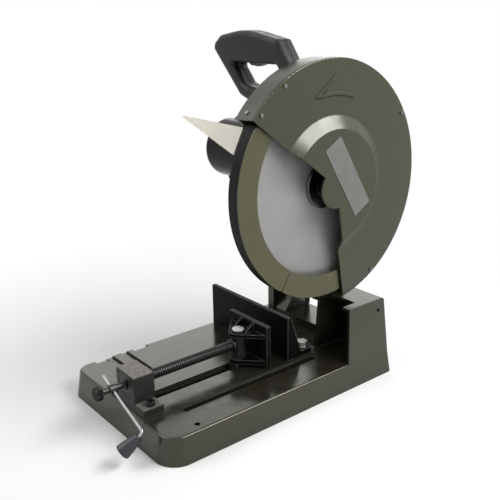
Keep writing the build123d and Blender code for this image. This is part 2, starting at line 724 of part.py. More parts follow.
with BuildPart() as gear_cover:
    hull_x(CASE_X[1], cover_x, case_outline)
    rod_x(cover_x, GUARD_X[0], ARBOR, SHOULDER_R)
    rod_x(GUARD_X[0], NOSE_X, ARBOR, NOSE_R)
    rod_x(CASE_X[1], FRONT_BEARING[0][1], ARBOR, FRONT_BEARING[2], Mode.SUBTRACT)
    rod_x(FRONT_BEARING[0][1], NOSE_X, ARBOR, SEAL_R, Mode.SUBTRACT)
    groove = [(CIRCLIP_X[0], CIRCLIP_R[0]), (CIRCLIP_X[1], CIRCLIP_R[0])]
    groove += [(CIRCLIP_X[1], NOSE_R + 1), (CIRCLIP_X[0], NOSE_R + 1)]
    turned_x(ARBOR, groove, Mode.SUBTRACT)
    for centre in cover_screws:
        rod_x(CASE_X[1], cover_x, centre, COVER_SCREW_R, Mode.SUBTRACT)
    for centre in guard_bolts:
        rod_x(cover_x - 4, GUARD_X[0], centre, GUARD_BOLT_R, Mode.SUBTRACT)
save(gear_cover, "gear_cover")

with BuildPart() as gear_cover_screws:
    for centre in cover_screws:
        rod_x(CASE_X[1] - 9, cover_x, centre, COVER_SCREW_R)
        rod_x(cover_x, cover_x + 3, centre, COVER_SCREW_R + 1.3)
save(gear_cover_screws, "gear_cover_screws")

# Ring and circlip that hold the lower guard on the nose
with BuildPart() as guard_retainers:
    rod_x(GUARD_X[0] + GUARD_T, LOWER_X[0] - LIFT, ARBOR, SPACER_R)
    rod_x(GUARD_X[0] + GUARD_T, LOWER_X[0], ARBOR, NOSE_R, Mode.SUBTRACT)
    rod_x(*CIRCLIP_X, ARBOR, CIRCLIP_R[1])
    rod_x(*CIRCLIP_X, ARBOR, CIRCLIP_R[0], Mode.SUBTRACT)
    cut_sector((LOWER_X[0] + LOWER_T, NOSE_X), 20, 45, 1)
save(guard_retainers, "guard_retainers")

# Spindle, bearings and the gear pair
with BuildPart() as spindle:
    nose_r = BLADE_BORE_R - RUNNING_GAP
    steps = [(17.3, 8), (28, 8), (28, 10), (58, 10), (58, 14), (76, 14), (76, 15.5), (FLANGE_BACK_X, 15.5)]
    end_x = BLADE_X + BLADE_T / 2 + 0.9
    tip = [(FLANGE_BACK_X, nose_r), (end_x, nose_r), (end_x, ARBOR_BOLT_R), (70, ARBOR_BOLT_R), (70, 0)]
    turned_x(ARBOR, [(17.3, 0), *steps, *tip])
save(spindle, "spindle")


def bearing(centre, xs, shaft, outer):
    """Sealed ball bearing as one ring with a shallow step in each side."""
    race = 2.0
    lip = 0.8
    inner = shaft + RUNNING_GAP
    right = [(xs[1], inner), (xs[1], inner + race), (xs[1] - lip, inner + race)]
    right += [(xs[1] - lip, outer - race), (xs[1], outer - race), (xs[1], outer)]
    left = [(xs[0], outer), (xs[0], outer - race), (xs[0] + lip, outer - race)]
    left += [(xs[0] + lip, inner + race), (xs[0], inner + race), (xs[0], inner)]
    turned_x(centre, right + left)


with BuildPart() as bearings:
    bearing(ARBOR, *REAR_BEARING)
    bearing(ARBOR, *FRONT_BEARING)
    bearing(MOTOR, *MOTOR_FRONT_BEARING)
    bearing(MOTOR, *MOTOR_REAR_BEARING)
save(bearings, "bearings")


def gear_points(centre, teeth, phase, addendum, dedendum):
    """Outline of a spur gear with involute flanks, one tooth at the angle phase."""
    pressure = radians(20)
    pitch_r = GEAR_MODULE * teeth / 2
    base_r = pitch_r * cos(pressure)
    half_tooth = pi / (2 * teeth) - BACKLASH / 2 / pitch_r
    lean = tan(pressure) - pressure
    root_r = pitch_r - dedendum
    tip_r = pitch_r + addendum
    start_r = max(root_r, base_r)
    flank = []
    for i in range(5):
        r = start_r + (tip_r - start_r) * i / 4
        roll = sqrt(max((r / base_r) ** 2 - 1, 0))
        flank.append((r, half_tooth + lean - (roll - atan2(roll, 1))))
    if root_r < base_r:
        flank.insert(0, (root_r, flank[0][1]))
    points = []
    for tooth in range(teeth):
        middle = phase + 360 * tooth / teeth
        points += [polar(centre, r, middle - degrees(a)) for r, a in flank]
        points += [polar(centre, r, middle + degrees(a)) for r, a in reversed(flank)]
    return points


with BuildPart() as drive_gear:
    plate_x(*GEAR_X, gear_points(ARBOR, GEAR_TEETH, MOTOR_LEAN, 1.2, 1.9))
    for x0, x1 in ((GEAR_X[0], GEAR_X[0] + 3.5), (GEAR_X[1] - 3.5, GEAR_X[1])):
        turned_x(ARBOR, [(x0, 18), (x1, 18), (x1, 40), (x0, 40)], Mode.SUBTRACT)
    rod_x(*GEAR_X, ARBOR, 10, Mode.SUBTRACT)
save(drive_gear, "drive_gear")

# Armature: shaft with pinion, rotor with commutator, and fan
rear_shaft_x = MOTOR_REAR_BEARING[0][0] + 0.5
rear_step_x = MOTOR_REAR_BEARING[0][1] + 1
with BuildPart() as armature_shaft:
    rod_x(rear_shaft_x, rear_step_x, MOTOR, MOTOR_REAR_BEARING[1])
    rod_x(rear_step_x, PINION_X[0], MOTOR, MOTOR_SHAFT_R)
    pinion_phase = MOTOR_LEAN + 180 + 180 / PINION_TEETH
    plate_x(*PINION_X, gear_points(MOTOR, PINION_TEETH, pinion_phase, 1.3, 1.7))
save(armature_shaft, "armature_shaft")

with BuildPart() as rotor:
    rod_x(*ROTOR_X, MOTOR, ROTOR_R)
    with BuildSketch(side(ROTOR_X[0])) as slots:
        with Locations(MOTOR):
            with PolarLocations(ROTOR_R - 1.5, 12):
                Rectangle(8, 2.4)
    extrude(slots.sketch, amount=ROTOR_X[1] - ROTOR_X[0], mode=Mode.SUBTRACT)
    rod_x(COMMUTATOR_X[1], ROTOR_X[0], MOTOR, COMMUTATOR_R - 4)
    rod_x(*COMMUTATOR_X, MOTOR, COMMUTATOR_R)
    with BuildSketch(side(COMMUTATOR_X[0])) as slots:
        with Locations(MOTOR):
            with PolarLocations(COMMUTATOR_R - 0.4, 24):
                Rectangle(1.6, 0.7)
    extrude(slots.sketch, amount=COMMUTATOR_X[1] - COMMUTATOR_X[0], mode=Mode.SUBTRACT)
    rod_x(COMMUTATOR_X[0], ROTOR_X[1], MOTOR, MOTOR_SHAFT_R, Mode.SUBTRACT)
save(rotor, "rotor")

with BuildPart() as fan:
    disc_x = FAN_X[0] + 2.5
    rod_x(FAN_X[0], disc_x, MOTOR, FAN_R)
    rod_x(disc_x, FAN_X[1] + 1.5, MOTOR, 11)
    with BuildSketch(side(disc_x)) as vanes:
        with Locations(MOTOR):
            with PolarLocations(25, 9):
                Rectangle(30, 2, rotation=18)
    extrude(vanes.sketch, amount=FAN_X[1] - disc_x)
    rod_x(FAN_X[0], FAN_X[1] + 1.5, MOTOR, MOTOR_SHAFT_R, Mode.SUBTRACT)
save(fan, "fan")


# Motor: housing, field core, end cap, brushes and their caps
def outwards(angle):
    """Direction away from the motor axis."""
    return (0, cos(radians(angle)), sin(radians(angle)))


motor_in = MOTOR_R - MOTOR_WALL
cap_foot_r = MOTOR_R - 6
with BuildPart() as motor_housing:
    rod_x(*MOTOR_X, MOTOR, MOTOR_R)
    rod_x(MOTOR_X[1] - 8, MOTOR_X[1], MOTOR, CASE_MOTOR_R)
    for angle in BRUSH_ANGLES:
        rod((BRUSH_X, *polar(MOTOR, cap_foot_r, angle)), outwards(angle), 9, BRUSH_CAP_R + 4)
    rod_x(*MOTOR_X, MOTOR, motor_in, Mode.SUBTRACT)
    with BuildSketch(side(MOTOR_X[1] - 26)) as slots:
        with Locations(MOTOR):
            with PolarLocations(MOTOR_R, MOTOR_VENTS, start_angle=15):
                Rectangle(16, 6)
    extrude(slots.sketch, amount=16, mode=Mode.SUBTRACT)
    for angle in BRUSH_ANGLES:
        rod((BRUSH_X, *polar(MOTOR, motor_in - 8, angle)), outwards(angle), 20, BRUSH_CAP_R, Mode.SUBTRACT)
save(motor_housing, "motor_housing")

with BuildPart() as field_core:
    rod_x(ROTOR_X[0] - 2, ROTOR_X[1] + 2, MOTOR, motor_in)
    rod_x(ROTOR_X[0] - 2, ROTOR_X[1] + 2, MOTOR, ROTOR_R + 0.7, Mode.SUBTRACT)
save(field_core, "field_core")

with BuildPart() as motor_end_cap:
    rod_x(MOTOR_END_X, MOTOR_X[0], MOTOR, MOTOR_R)
    fillet(motor_end_cap.edges().filter_by(GeomType.CIRCLE).group_by(Axis.X)[0], 11)
    rod_x(MOTOR_END_X + 5, MOTOR_X[0], MOTOR, motor_in - 9, Mode.SUBTRACT)
    rod_x(MOTOR_END_X + 3, MOTOR_REAR_BEARING[0][1], MOTOR, MOTOR_REAR_BEARING[2] + 4)
    rod_x(*MOTOR_REAR_BEARING[0], MOTOR, MOTOR_REAR_BEARING[2], Mode.SUBTRACT)
    with BuildSketch(side(MOTOR_END_X)) as slots:
        with Locations(MOTOR):
            with PolarLocations(28, 10):
                SlotOverall(14, 5)
    extrude(slots.sketch, amount=6, mode=Mode.SUBTRACT)
save(motor_end_cap, "motor_end_cap")

with BuildPart() as brush_caps:
    for angle in BRUSH_ANGLES:
        rod((BRUSH_X, *polar(MOTOR, cap_foot_r, angle)), outwards(angle), 9, BRUSH_CAP_R)
        rod((BRUSH_X, *polar(MOTOR, MOTOR_R + 3, angle)), outwards(angle), 2, BRUSH_CAP_R + 1.5)
        top = (BRUSH_X, *polar(MOTOR, MOTOR_R + 5, angle))
        with BuildSketch(Plane(origin=top, x_dir=(1, 0, 0), z_dir=outwards(angle))) as slot:
            Rectangle(13, 1.8)
        extrude(slot.sketch, amount=-1.2, mode=Mode.SUBTRACT)
save(brush_caps, "brush_caps")

with BuildPart() as carbon_brushes:
    brush_start = COMMUTATOR_R + 0.4
    for angle in BRUSH_ANGLES:
        rod((BRUSH_X, *polar(MOTOR, brush_start, angle)), outwards(angle), cap_foot_r - brush_start, BRUSH_R)
save(carbon_brushes, "carbon_brushes")

# Blade and its clamping
blade_back = BLADE_X - BLADE_T / 2
blade_face = BLADE_X + BLADE_T / 2
with BuildPart() as saw_blade:
    outline = []
    pitch = 360 / BLADE_TEETH
    for tooth in range(BLADE_TEETH):
        tip = -tooth * pitch
        outline.append(polar(ARBOR, BLADE_R - TOOTH_DEPTH, tip + 0.18 * pitch))
        outline.append(polar(ARBOR, BLADE_R, tip))
        outline.append(polar(ARBOR, BLADE_R - 1.2, tip - 0.34 * pitch))
        outline.append(polar(ARBOR, BLADE_R - TOOTH_DEPTH, tip - 0.62 * pitch))
    plate_x(blade_back, blade_face, outline)
    rod_x(blade_back, blade_face, ARBOR, BLADE_BORE_R, Mode.SUBTRACT)
save(saw_blade, "saw_blade")

with BuildPart() as inner_flange:
    relief_x = blade_back - 0.6
    relief_r = FLANGE_R - 9
    profile = [(FLANGE_BACK_X, BLADE_BORE_R), (FLANGE_BACK_X, FLANGE_R - 2), (FLANGE_BACK_X + 1.6, FLANGE_R)]
    profile += [(blade_back, FLANGE_R), (blade_back, relief_r)]
    profile += [(relief_x, relief_r), (relief_x, BLADE_BORE_R)]
    turned_x(ARBOR, profile)
save(inner_flange, "inner_flange")

washer_x = blade_face + OUTER_FLANGE_T
with BuildPart() as outer_flange:
    relief_x = blade_face + 1
    relief_r = OUTER_FLANGE_R - 10
    profile = [(relief_x, ARBOR_BOLT_R), (washer_x, ARBOR_BOLT_R), (washer_x, 16), (washer_x - 1, 20)]
    profile += [(washer_x - 1, OUTER_FLANGE_R - 3), (washer_x - 3, OUTER_FLANGE_R)]
    profile += [(blade_face, OUTER_FLANGE_R), (blade_face, relief_r), (relief_x, relief_r)]
    turned_x(ARBOR, profile)
save(outer_flange, "outer_flange")

with BuildPart() as arbor_bolt:
    rod_x(71, washer_x, ARBOR, ARBOR_BOLT_R)
    hex_prism(side(washer_x), ARBOR, ARBOR_HEX_R, ARBOR_HEX_T)
    chamfer(arbor_bolt.faces().sort_by(Axis.X)[-1].edges(), 0.8)
save(arbor_bolt, "arbor_bolt")

# Upper guard: back plate with rim, then the domed cover with its raised arrow
back_face_x = GUARD_X[0] + GUARD_T
cover_in_x = GUARD_X[1] - GUARD_T
rim_in = GUARD_R - GUARD_T
guard_screw_places = [polar(ARBOR, GUARD_SCREW_PCR, a) for a in GUARD_SCREW_ANGLES]
rim_screw_out = outwards(RIM_SCREW[1])
rim_screw_start = (RIM_SCREW[0], *polar(ARBOR, rim_in, RIM_SCREW[1]))
rim_head_start = (RIM_SCREW[0], *polar(ARBOR, GUARD_R + 0.05, RIM_SCREW[1]))
with BuildPart() as upper_guard:
    profile = [(GUARD_X[0], NOSE_R), (GUARD_X[0], GUARD_R - 1), (GUARD_X[0] + 1, GUARD_R)]
    profile += [(cover_in_x - SEAM, GUARD_R), (cover_in_x, GUARD_R - SEAM)]
    profile += [(cover_in_x, rim_in), (back_face_x, rim_in), (back_face_x, NOSE_R)]
    turned_x(ARBOR, profile)
    for centre in guard_screw_places:
        rod_x(back_face_x, cover_in_x, centre, GUARD_BOSS_R)
    cut_sector((GUARD_X[0] - 1, GUARD_X[1]), GUARD_END, GUARD_START + 360, GUARD_HUB_R)
    for centre in guard_screw_places:
        rod_x(back_face_x + 12, cover_in_x, centre, GUARD_SCREW_R, Mode.SUBTRACT)
    for centre in guard_bolts:
        rod_x(GUARD_X[0], back_face_x, centre, GUARD_BOLT_R, Mode.SUBTRACT)
    rod(rim_screw_start, rim_screw_out, GUARD_T, GUARD_SCREW_R, Mode.SUBTRACT)
save(upper_guard, "upper_guard")

with BuildPart() as guard_cover:
    inner_top_x = DOME_TOP_X - GUARD_T
    outside = [(cover_in_x, GUARD_R - SEAM), (cover_in_x + SEAM, GUARD_R), (GUARD_X[1], GUARD_R)]
    outside += [(GUARD_X[1], DOME_FOOT_R), (DOME_TOP_X, DOME_TOP_R), (DOME_TOP_X, 0)]
    inside = [(inner_top_x, 0), (inner_top_x, DOME_TOP_R - 1.4), (cover_in_x, DOME_FOOT_R - 1.35)]
    turned_x(ARBOR, outside + inside)
    for x, radius, round_r in (
        (GUARD_X[1], GUARD_R, COVER_EDGE_R),
        (GUARD_X[1], DOME_FOOT_R, DOME_ROUND_R),
        (DOME_TOP_X, DOME_TOP_R, DOME_ROUND_R),
    ):
        rings = guard_cover.edges().filter_by(GeomType.CIRCLE)
        rings = rings.filter_by(lambda ring: abs(ring.radius - radius) < 0.1)
        fillet(rings.filter_by(lambda ring: abs(ring.arc_center.X - x) < 0.1), radius=round_r)
    cut_sector((cover_in_x - 1, DOME_TOP_X + 1), GUARD_END, GUARD_START + 360, TAB_R)
    for centre in guard_screw_places:
        rod_x(cover_in_x, GUARD_X[1], centre, GUARD_SCREW_R, Mode.SUBTRACT)
    # Raised arrow for the direction of turning
    arc = [ARROW_BAND[0] + (ARROW_BAND[1] - ARROW_BAND[0]) * i / 8 for i in range(9)]
    band = [polar(ARBOR, ARROW_BAND_R[1], a) for a in arc]
    band += [polar(ARBOR, ARROW_BAND_R[0], a) for a in arc[::-1]]
    head = [(ARBOR[0] + y, ARBOR[1] + z) for y, z in ARROW_HEAD]
    for points in (band, head):
        with BuildSketch(side(GUARD_X[1])) as shape:
            Polygon(*points, align=None)
        extrude(shape.sketch, amount=ARROW_RISE, taper=ARROW_TAPER)
save(guard_cover, "guard_cover")

with BuildPart() as guard_screws:
    for centre in guard_screw_places:
        rod_x(back_face_x + 13, GUARD_X[1], centre, GUARD_SCREW_R)
        rod_x(GUARD_X[1], GUARD_X[1] + 2.2, centre, 1.5 * GUARD_SCREW_R)
    rod(rim_screw_start, rim_screw_out, GUARD_T, GUARD_SCREW_R)
    rod(rim_head_start, rim_screw_out, 1.8, 1.5 * GUARD_SCREW_R)
save(guard_screws, "guard_screws")

with BuildPart() as guard_mount_screws:
    for centre in guard_bolts:
        rod_x(cover_x - 3, back_face_x, centre, GUARD_BOLT_R)
        rod_x(back_face_x, back_face_x + 2.7, centre, 1.5 * GUARD_BOLT_R)
save(guard_mount_screws, "guard_mount_screws")

with BuildPart() as label_plate:
    label_at = (DOME_TOP_X, ARBOR[0] + LABEL_OFFSET[0], ARBOR[1] + LABEL_OFFSET[1])
    with BuildSketch(Plane(origin=label_at, x_dir=(0, *LABEL_AXIS), z_dir=(1, 0, 0))) as label:
        RectangleRounded(*LABEL_SIZE, 2)
    extrude(label.sketch, amount=LABEL_T)
save(label_plate, "label_plate")

# Lower guard: back plate with rim on the nose, and its two face plates
lower_in_x = LOWER_X[0] + LOWER_T
lower_face_x = LOWER_X[1] - LOWER_T
with BuildPart() as lower_guard:
    lower_bore = NOSE_R + 0.08
    profile = [(LOWER_X[0], lower_bore), (LOWER_X[0], LOWER_R), (lower_face_x, LOWER_R)]
    profile += [(lower_face_x, LOWER_R - LOWER_T), (lower_in_x, LOWER_R - LOWER_T), (lower_in_x, lower_bore)]
    turned_x(ARBOR, profile)
    cut_sector((LOWER_X[0] - 1, LOWER_X[1]), LOWER_END - 360, LOWER_START, LOWER_HUB_R)
save(lower_guard, "lower_guard")


def face_plate(start, end):
    """Ring sector on the open side of the lower guard."""
    with BuildSketch(side(lower_face_x)) as plate:
        with Locations(ARBOR):
            Circle(LOWER_R)
            Circle(LOWER_RING_R, mode=Mode.SUBTRACT)
        Polygon(*sector(ARBOR, start, end, GUARD_R), align=None, mode=Mode.INTERSECT)
        fillet(plate.vertices(), radius=4)
    extrude(plate.sketch, amount=LOWER_T)


with BuildPart() as guard_front_plate:
    face_plate(LOWER_START, LOWER_SPLIT - LOWER_GAP)
save(guard_front_plate, "guard_front_plate")

with BuildPart() as guard_rear_plate:
    face_plate(LOWER_SPLIT + LOWER_GAP, LOWER_END)
save(guard_rear_plate, "guard_rear_plate")

# Clear chip shield in front of the motor, on a bracket from the guard
shield_up = (0.0, sin(radians(SHIELD_LEAN)), cos(radians(SHIELD_LEAN)))
shield_behind = (0.0, shield_up[2], -shield_up[1])
shield_plane = Plane(origin=SHIELD_CORNER, x_dir=(-1, 0, 0), z_dir=shield_behind)


def on_shield(along, up, depth):
    """Point on the shield: to the left, upwards and behind its rear face."""
    return (
        SHIELD_CORNER[0] - along,
        SHIELD_CORNER[1] + up * shield_up[1] + depth * shield_behind[1],
        SHIELD_CORNER[2] + up * shield_up[2] + depth * shield_behind[2],
    )


shield_lip_t = 3.0
shield_bracket_x = GUARD_X[0] - 3
bracket_bolts = ((-14.0, 461.0), (0.0, 449.0))
with BuildPart() as clear_shield:
    with BuildSketch(shield_plane) as pane:
        Polygon((0, 0), (0, -SHIELD_DROP), (SHIELD_REACH - 1, -1), (SHIELD_REACH, 2), align=None)
        fillet(pane.vertices().group_by(Axis.X)[0], radius=2.5)
    extrude(pane.sketch, amount=-SHIELD_T)
    for along, up in SHIELD_SCREWS:
        rod(on_shield(along, up, -SHIELD_T + 0.6), shield_behind, SHIELD_T, GUARD_SCREW_R, Mode.SUBTRACT)
save(clear_shield, "clear_shield")

with BuildPart() as shield_bracket:
    lower = on_shield(0, -34, 0)[1:]
    upper = on_shield(0, 3, 0)[1:]
    behind = on_shield(0, -34, 12)[1:]
    plate_x(shield_bracket_x, GUARD_X[0], [lower, upper, (-20, 470), (6, 447), behind])
    with BuildSketch(shield_plane) as lip:
        with Locations((SHIELD_CORNER[0] - GUARD_X[0] + 12, -17)):
            Rectangle(24, 34)
    extrude(lip.sketch, amount=shield_lip_t)
    for along, up in SHIELD_SCREWS:
        rod(on_shield(along, up, -1), shield_behind, shield_lip_t + 2, GUARD_SCREW_R, Mode.SUBTRACT)
save(shield_bracket, "shield_bracket")

with BuildPart() as shield_screws:
    for along, up in SHIELD_SCREWS:
        tip = on_shield(along, up, -SHIELD_T + 0.6)
        rod(tip, shield_behind, SHIELD_T + shield_lip_t - 0.6, GUARD_SCREW_R)
        rod(on_shield(along, up, shield_lip_t), shield_behind, 2, 2 * GUARD_SCREW_R)
    for centre in bracket_bolts:
        rod_x(shield_bracket_x - 2.2, shield_bracket_x, centre, 2 * GUARD_SCREW_R)
save(shield_screws, "shield_screws")


# Handle in two halves round the trigger, the switch and the tongue of the gear case
def rounded_face(corners):
    """Face of (x, z, rounding) corners on the parting plane."""
    with BuildSketch(front(HANDLE_Y)) as face:
        Polygon(*[(x, z) for x, z, r in corners], align=None)
        for x, z, r in corners:
            fillet(face.vertices().sort_by_distance((x, z))[0], radius=r)
    return face.sketch_local


def grown(corners, amount):
    """Face of the corners, moved outwards all round."""
    with BuildSketch(front(HANDLE_Y)) as face:
        add(rounded_face(corners))
        offset(amount=amount, mode=Mode.REPLACE)
    return face.sketch_local


def handle_half(towards, screw_hole):
    """Hollow half of the handle, from the parting plane to the front (-1) or the rear (1)."""
    with BuildSketch(front(HANDLE_Y)) as outer:
        add(rounded_face(HANDLE_OUTLINE))
        add(rounded_face(HANDLE_OPENING), mode=Mode.SUBTRACT)
    shell = extrude(outer.sketch, amount=-towards * HANDLE_HALF_W)
    far = shell.faces().sort_by(Axis.Y)[-1 if towards > 0 else 0]
    fillet(far.edges(), radius=HANDLE_EDGE_R)
    with BuildSketch(front(HANDLE_Y)) as inner:
        add(grown(HANDLE_OUTLINE, -HANDLE_WALL))
        add(grown(HANDLE_OPENING, HANDLE_WALL), mode=Mode.SUBTRACT)
    extrude(inner.sketch, amount=-towards * (HANDLE_HALF_W - HANDLE_WALL), mode=Mode.SUBTRACT)
    inside = HANDLE_Y + towards * (HANDLE_HALF_W - HANDLE_WALL + 0.5)
    for centre in HANDLE_SCREWS:
        rod_y(HANDLE_Y, inside, centre, HANDLE_BOSS_R)
    for centre in HANDLE_SCREWS + TONGUE_SCREWS:
        rod_y(HANDLE_Y, HANDLE_Y + towards * screw_hole, centre, HANDLE_SCREW_R, Mode.SUBTRACT)
    gap_x = (TRIGGER_X[0] - TRIGGER_GAP, TRIGGER_X[1] + TRIGGER_GAP)
    gap_y = (HANDLE_Y - TRIGGER_HALF_W - TRIGGER_GAP, HANDLE_Y + TRIGGER_HALF_W + TRIGGER_GAP)
    block(gap_x, gap_y, (grip_bottom_z - 1, grip_bottom_z + HANDLE_WALL + 0.2), Mode.SUBTRACT)
    block(TONGUE_X, tongue_ys, (SADDLE_Z, SADDLE_Z + HANDLE_WALL + 0.5), Mode.SUBTRACT)
    rod_y(gland_y - 12, gland_y, (GLAND_X, GLAND_Z), GLAND_NECK_R, Mode.SUBTRACT)


grip_bottom_z = HANDLE_OPENING[0][1]
gland_y = handle_ys[1]
with BuildPart() as handle_front:
    handle_half(-1, HANDLE_SCREW_DEPTH)
save(handle_front, "handle_front")

with BuildPart() as handle_rear:
    handle_half(1, HANDLE_HALF_W)
    for centre in HANDLE_SCREWS + TONGUE_SCREWS:
        rod_y(gland_y - HANDLE_HEAD_T, gland_y, centre, HANDLE_HEAD_R, Mode.SUBTRACT)
save(handle_rear, "handle_rear")

with BuildPart() as handle_screws:
    for centre in HANDLE_SCREWS + TONGUE_SCREWS:
        rod_y(gland_y - HANDLE_HEAD_T, gland_y, centre, HANDLE_HEAD_R)
        rod_y(HANDLE_Y - HANDLE_SCREW_DEPTH + 1, gland_y - HANDLE_HEAD_T, centre, HANDLE_SCREW_R)
        hex_prism(front(gland_y), centre, 2, 1.6, Mode.SUBTRACT)
save(handle_screws, "handle_screws")

with BuildPart() as trigger:
    left_x, right_x = TRIGGER_X
    lever = [(left_x + along, z) for along, z in TRIGGER_LEVER]
    with BuildSketch(front(HANDLE_Y + TRIGGER_HALF_W)) as profile:
        Polygon((left_x, TRIGGER_TOP_Z), *lever, (right_x, TRIGGER_TOP_Z), align=None)
    extrude(profile.sketch, amount=2 * TRIGGER_HALF_W)
    fillet(trigger.edges().filter_by(Axis.Y).group_by(Axis.Z)[0], radius=3)
    lip_y = TRIGGER_HALF_W + TRIGGER_LIP
    lip_z = grip_bottom_z + HANDLE_WALL + LIFT
    block(
        (left_x - TRIGGER_LIP, right_x + TRIGGER_LIP),
        (HANDLE_Y - lip_y, HANDLE_Y + lip_y),
        (lip_z, TRIGGER_TOP_Z),
    )
save(trigger, "trigger")

with BuildPart() as power_switch:
    plunger_z = TRIGGER_TOP_Z + TRIGGER_TRAVEL + LIFT
    rod_z(plunger_z, plunger_z + 5, (sum(TRIGGER_X) / 2, HANDLE_Y), 3)
    block((TRIGGER_X[0] + 2, TRIGGER_X[1] - 2), (HANDLE_Y - 9, HANDLE_Y + 9), (plunger_z + 5, plunger_z + 20))
save(power_switch, "power_switch")

with BuildPart() as cord_gland:
    gland_axis = (GLAND_X, GLAND_Z)
    rod_y(gland_y - 7, gland_y, gland_axis, GLAND_NECK_R)
    rod_y(gland_y, gland_y + 6, gland_axis, GLAND_NECK_R + 3.5)
    for i in range(4):
        rib_y = gland_y + 6 + 4 * i
        rod_y(rib_y, rib_y + 2.5, gland_axis, GLAND_NECK_R + 1.5 - 0.3 * i)
        rod_y(rib_y + 2.5, rib_y + 4, gland_axis, GLAND_NECK_R)
    rod_y(gland_y - 7, gland_y + 22, gland_axis, CORD_R, Mode.SUBTRACT)
save(cord_gland, "cord_gland")

# Vise block with its nut and bolts
screw_axis = (VISE_X, SCREW_Z)
with BuildPart() as vise_block:
    block((VISE_X - FOOT_HALF_W, VISE_X + FOOT_HALF_W), BLOCK_Y, (DECK_Z, DECK_Z + FOOT_T))
    block((VISE_X - BLOCK_HALF_W, VISE_X + BLOCK_HALF_W), BLOCK_Y, (DECK_Z, BLOCK_TOP_Z))
    fillet(vise_block.edges().filter_by(lambda e: e.center().Z > DECK_Z + 1), radius=BLOCK_EDGE_R)
    block((VISE_X - TONGUE_HALF_W, VISE_X + TONGUE_HALF_W), (-195, BLOCK_Y[1] - 1), (CAVITY_Z + 3, DECK_Z))
    rod_y(*BLOCK_Y, screw_axis, NUT_R, Mode.SUBTRACT)
    for centre in block_bolts:
        rod_z(DECK_Z, DECK_Z + FOOT_T, centre, BLOCK_BOLT_R, Mode.SUBTRACT)
save(vise_block, "vise_block")

with BuildPart() as vise_block_bolts:
    head_z = DECK_Z + FOOT_T
    for centre in block_bolts:
        rod_z(CAVITY_Z, head_z, centre, BLOCK_BOLT_R)
        rod_z(head_z, head_z + 8, centre, SOCKET_HEAD_R)
        hex_prism(level(head_z + 8), centre, 3.6, -4.5, Mode.SUBTRACT)
save(vise_block_bolts, "vise_block_bolts")

with BuildPart() as vise_nut:
    rod_y(*BLOCK_Y, screw_axis, NUT_R)
    rod_y(BLOCK_Y[1], BLOCK_Y[1] + 4, screw_axis, NUT_R + 3)
    rod_y(BLOCK_Y[0], BLOCK_Y[1] + 4, screw_axis, SCREW_R + RUNNING_GAP, Mode.SUBTRACT)
save(vise_nut, "vise_nut")

# Vise screw with crank, grip and end knob
tilt = radians(CRANK_TILT)
crank_dir = Vector(cos(tilt), 0, -sin(tilt))
crank_centre = Vector(VISE_X, CRANK_Y, SCREW_Z)
crank_corner = crank_centre + crank_dir * CRANK_LONG
roll = radians(GRIP_ROLL)
grip_dir = Vector(-sin(tilt) * sin(roll), -cos(roll), -cos(tilt) * sin(roll))
grip_start = crank_corner + grip_dir * GRIP_SET
bar_end = grip_start + grip_dir * (GRIP_LENGTH - GRIP_END_T)
with BuildPart() as vise_screw:
    rod_y(SCREW_FRONT_Y, SCREW_NECK_Y, screw_axis, SCREW_NECK_R)
    rod_y(SCREW_NECK_Y, COLLAR_Y[1], screw_axis, SCREW_R)
    rod_y(CRANK_Y - 6, CRANK_Y + 6, screw_axis, SCREW_HUB_R)
    rod_y(COLLAR_Y[1], JOURNAL_END_Y, screw_axis, JOURNAL_R)
    rod(crank_centre - crank_dir * CRANK_SHORT, crank_dir, 2 * CRANK_SHORT, CRANK_R, Mode.SUBTRACT)
save(vise_screw, "vise_screw")

with BuildPart() as crank_bar:
    bar_start = crank_centre - crank_dir * CRANK_SHORT
    with BuildLine() as bar_path:
        FilletPolyline(bar_start, crank_corner, bar_end, radius=CRANK_BEND_R)
    with BuildSketch(Plane(origin=bar_start, z_dir=crank_dir)) as section:
        Circle(CRANK_R)
    sweep(section.sketch, path=bar_path.wires()[0])
save(crank_bar, "crank_bar")

with BuildPart() as crank_grip:
    grip_plane = Plane(origin=grip_start, x_dir=grip_dir, z_dir=grip_dir.cross(Vector(1, 0, 0)))
    bore = CRANK_R + RUNNING_GAP
    depth = GRIP_LENGTH - GRIP_END_T + 0.3
    shape = [(0, bore), (0, GRIP_R[0]), GRIP_WAIST, (GRIP_LENGTH, GRIP_R[1]), (GRIP_LENGTH, 0)]
    with BuildSketch(grip_plane) as half:
        with BuildLine():
            FilletPolyline(*shape, radius=GRIP_EDGE_R)
            Polyline((GRIP_LENGTH, 0), (depth, 0), (depth, bore), (0, bore))
        make_face()
    revolve(half.sketch, axis=Axis(grip_start, grip_dir))
save(crank_grip, "crank_grip")

with BuildPart() as end_knob:
    hex_prism(front(KNOB_Y[1]), screw_axis, KNOB_R, KNOB_Y[1] - KNOB_Y[0])
    chamfer(end_knob.edges().group_by(Axis.Y)[0], KNOB_EDGE)
    chamfer(end_knob.edges().group_by(Axis.Y)[-1], KNOB_EDGE)
    rod_y(SCREW_FRONT_Y, KNOB_Y[1], screw_axis, SCREW_NECK_R, Mode.SUBTRACT)
save(end_knob, "end_knob")

with BuildPart() as screw_collar:
    rod_y(*COLLAR_Y, screw_axis, COLLAR_R)
    chamfer(screw_collar.edges(), 0.8)
    rod_y(*COLLAR_Y, screw_axis, SCREW_R, Mode.SUBTRACT)
save(screw_collar, "screw_collar")

# Jaw slider: barrel that the screw turns in, pin and the shoe that runs in the slot
with BuildPart() as jaw_slider:
    rod_z(*BARREL_Z, PIN, BARREL_R)
    rod_z(*BARREL_Z, PIN, PIN_R, Mode.SUBTRACT)
    rod_y(PIN[1] - BARREL_R - 1, JOURNAL_END_Y + LIFT, screw_axis, JOURNAL_R + RUNNING_GAP, Mode.SUBTRACT)
save(jaw_slider, "jaw_slider")

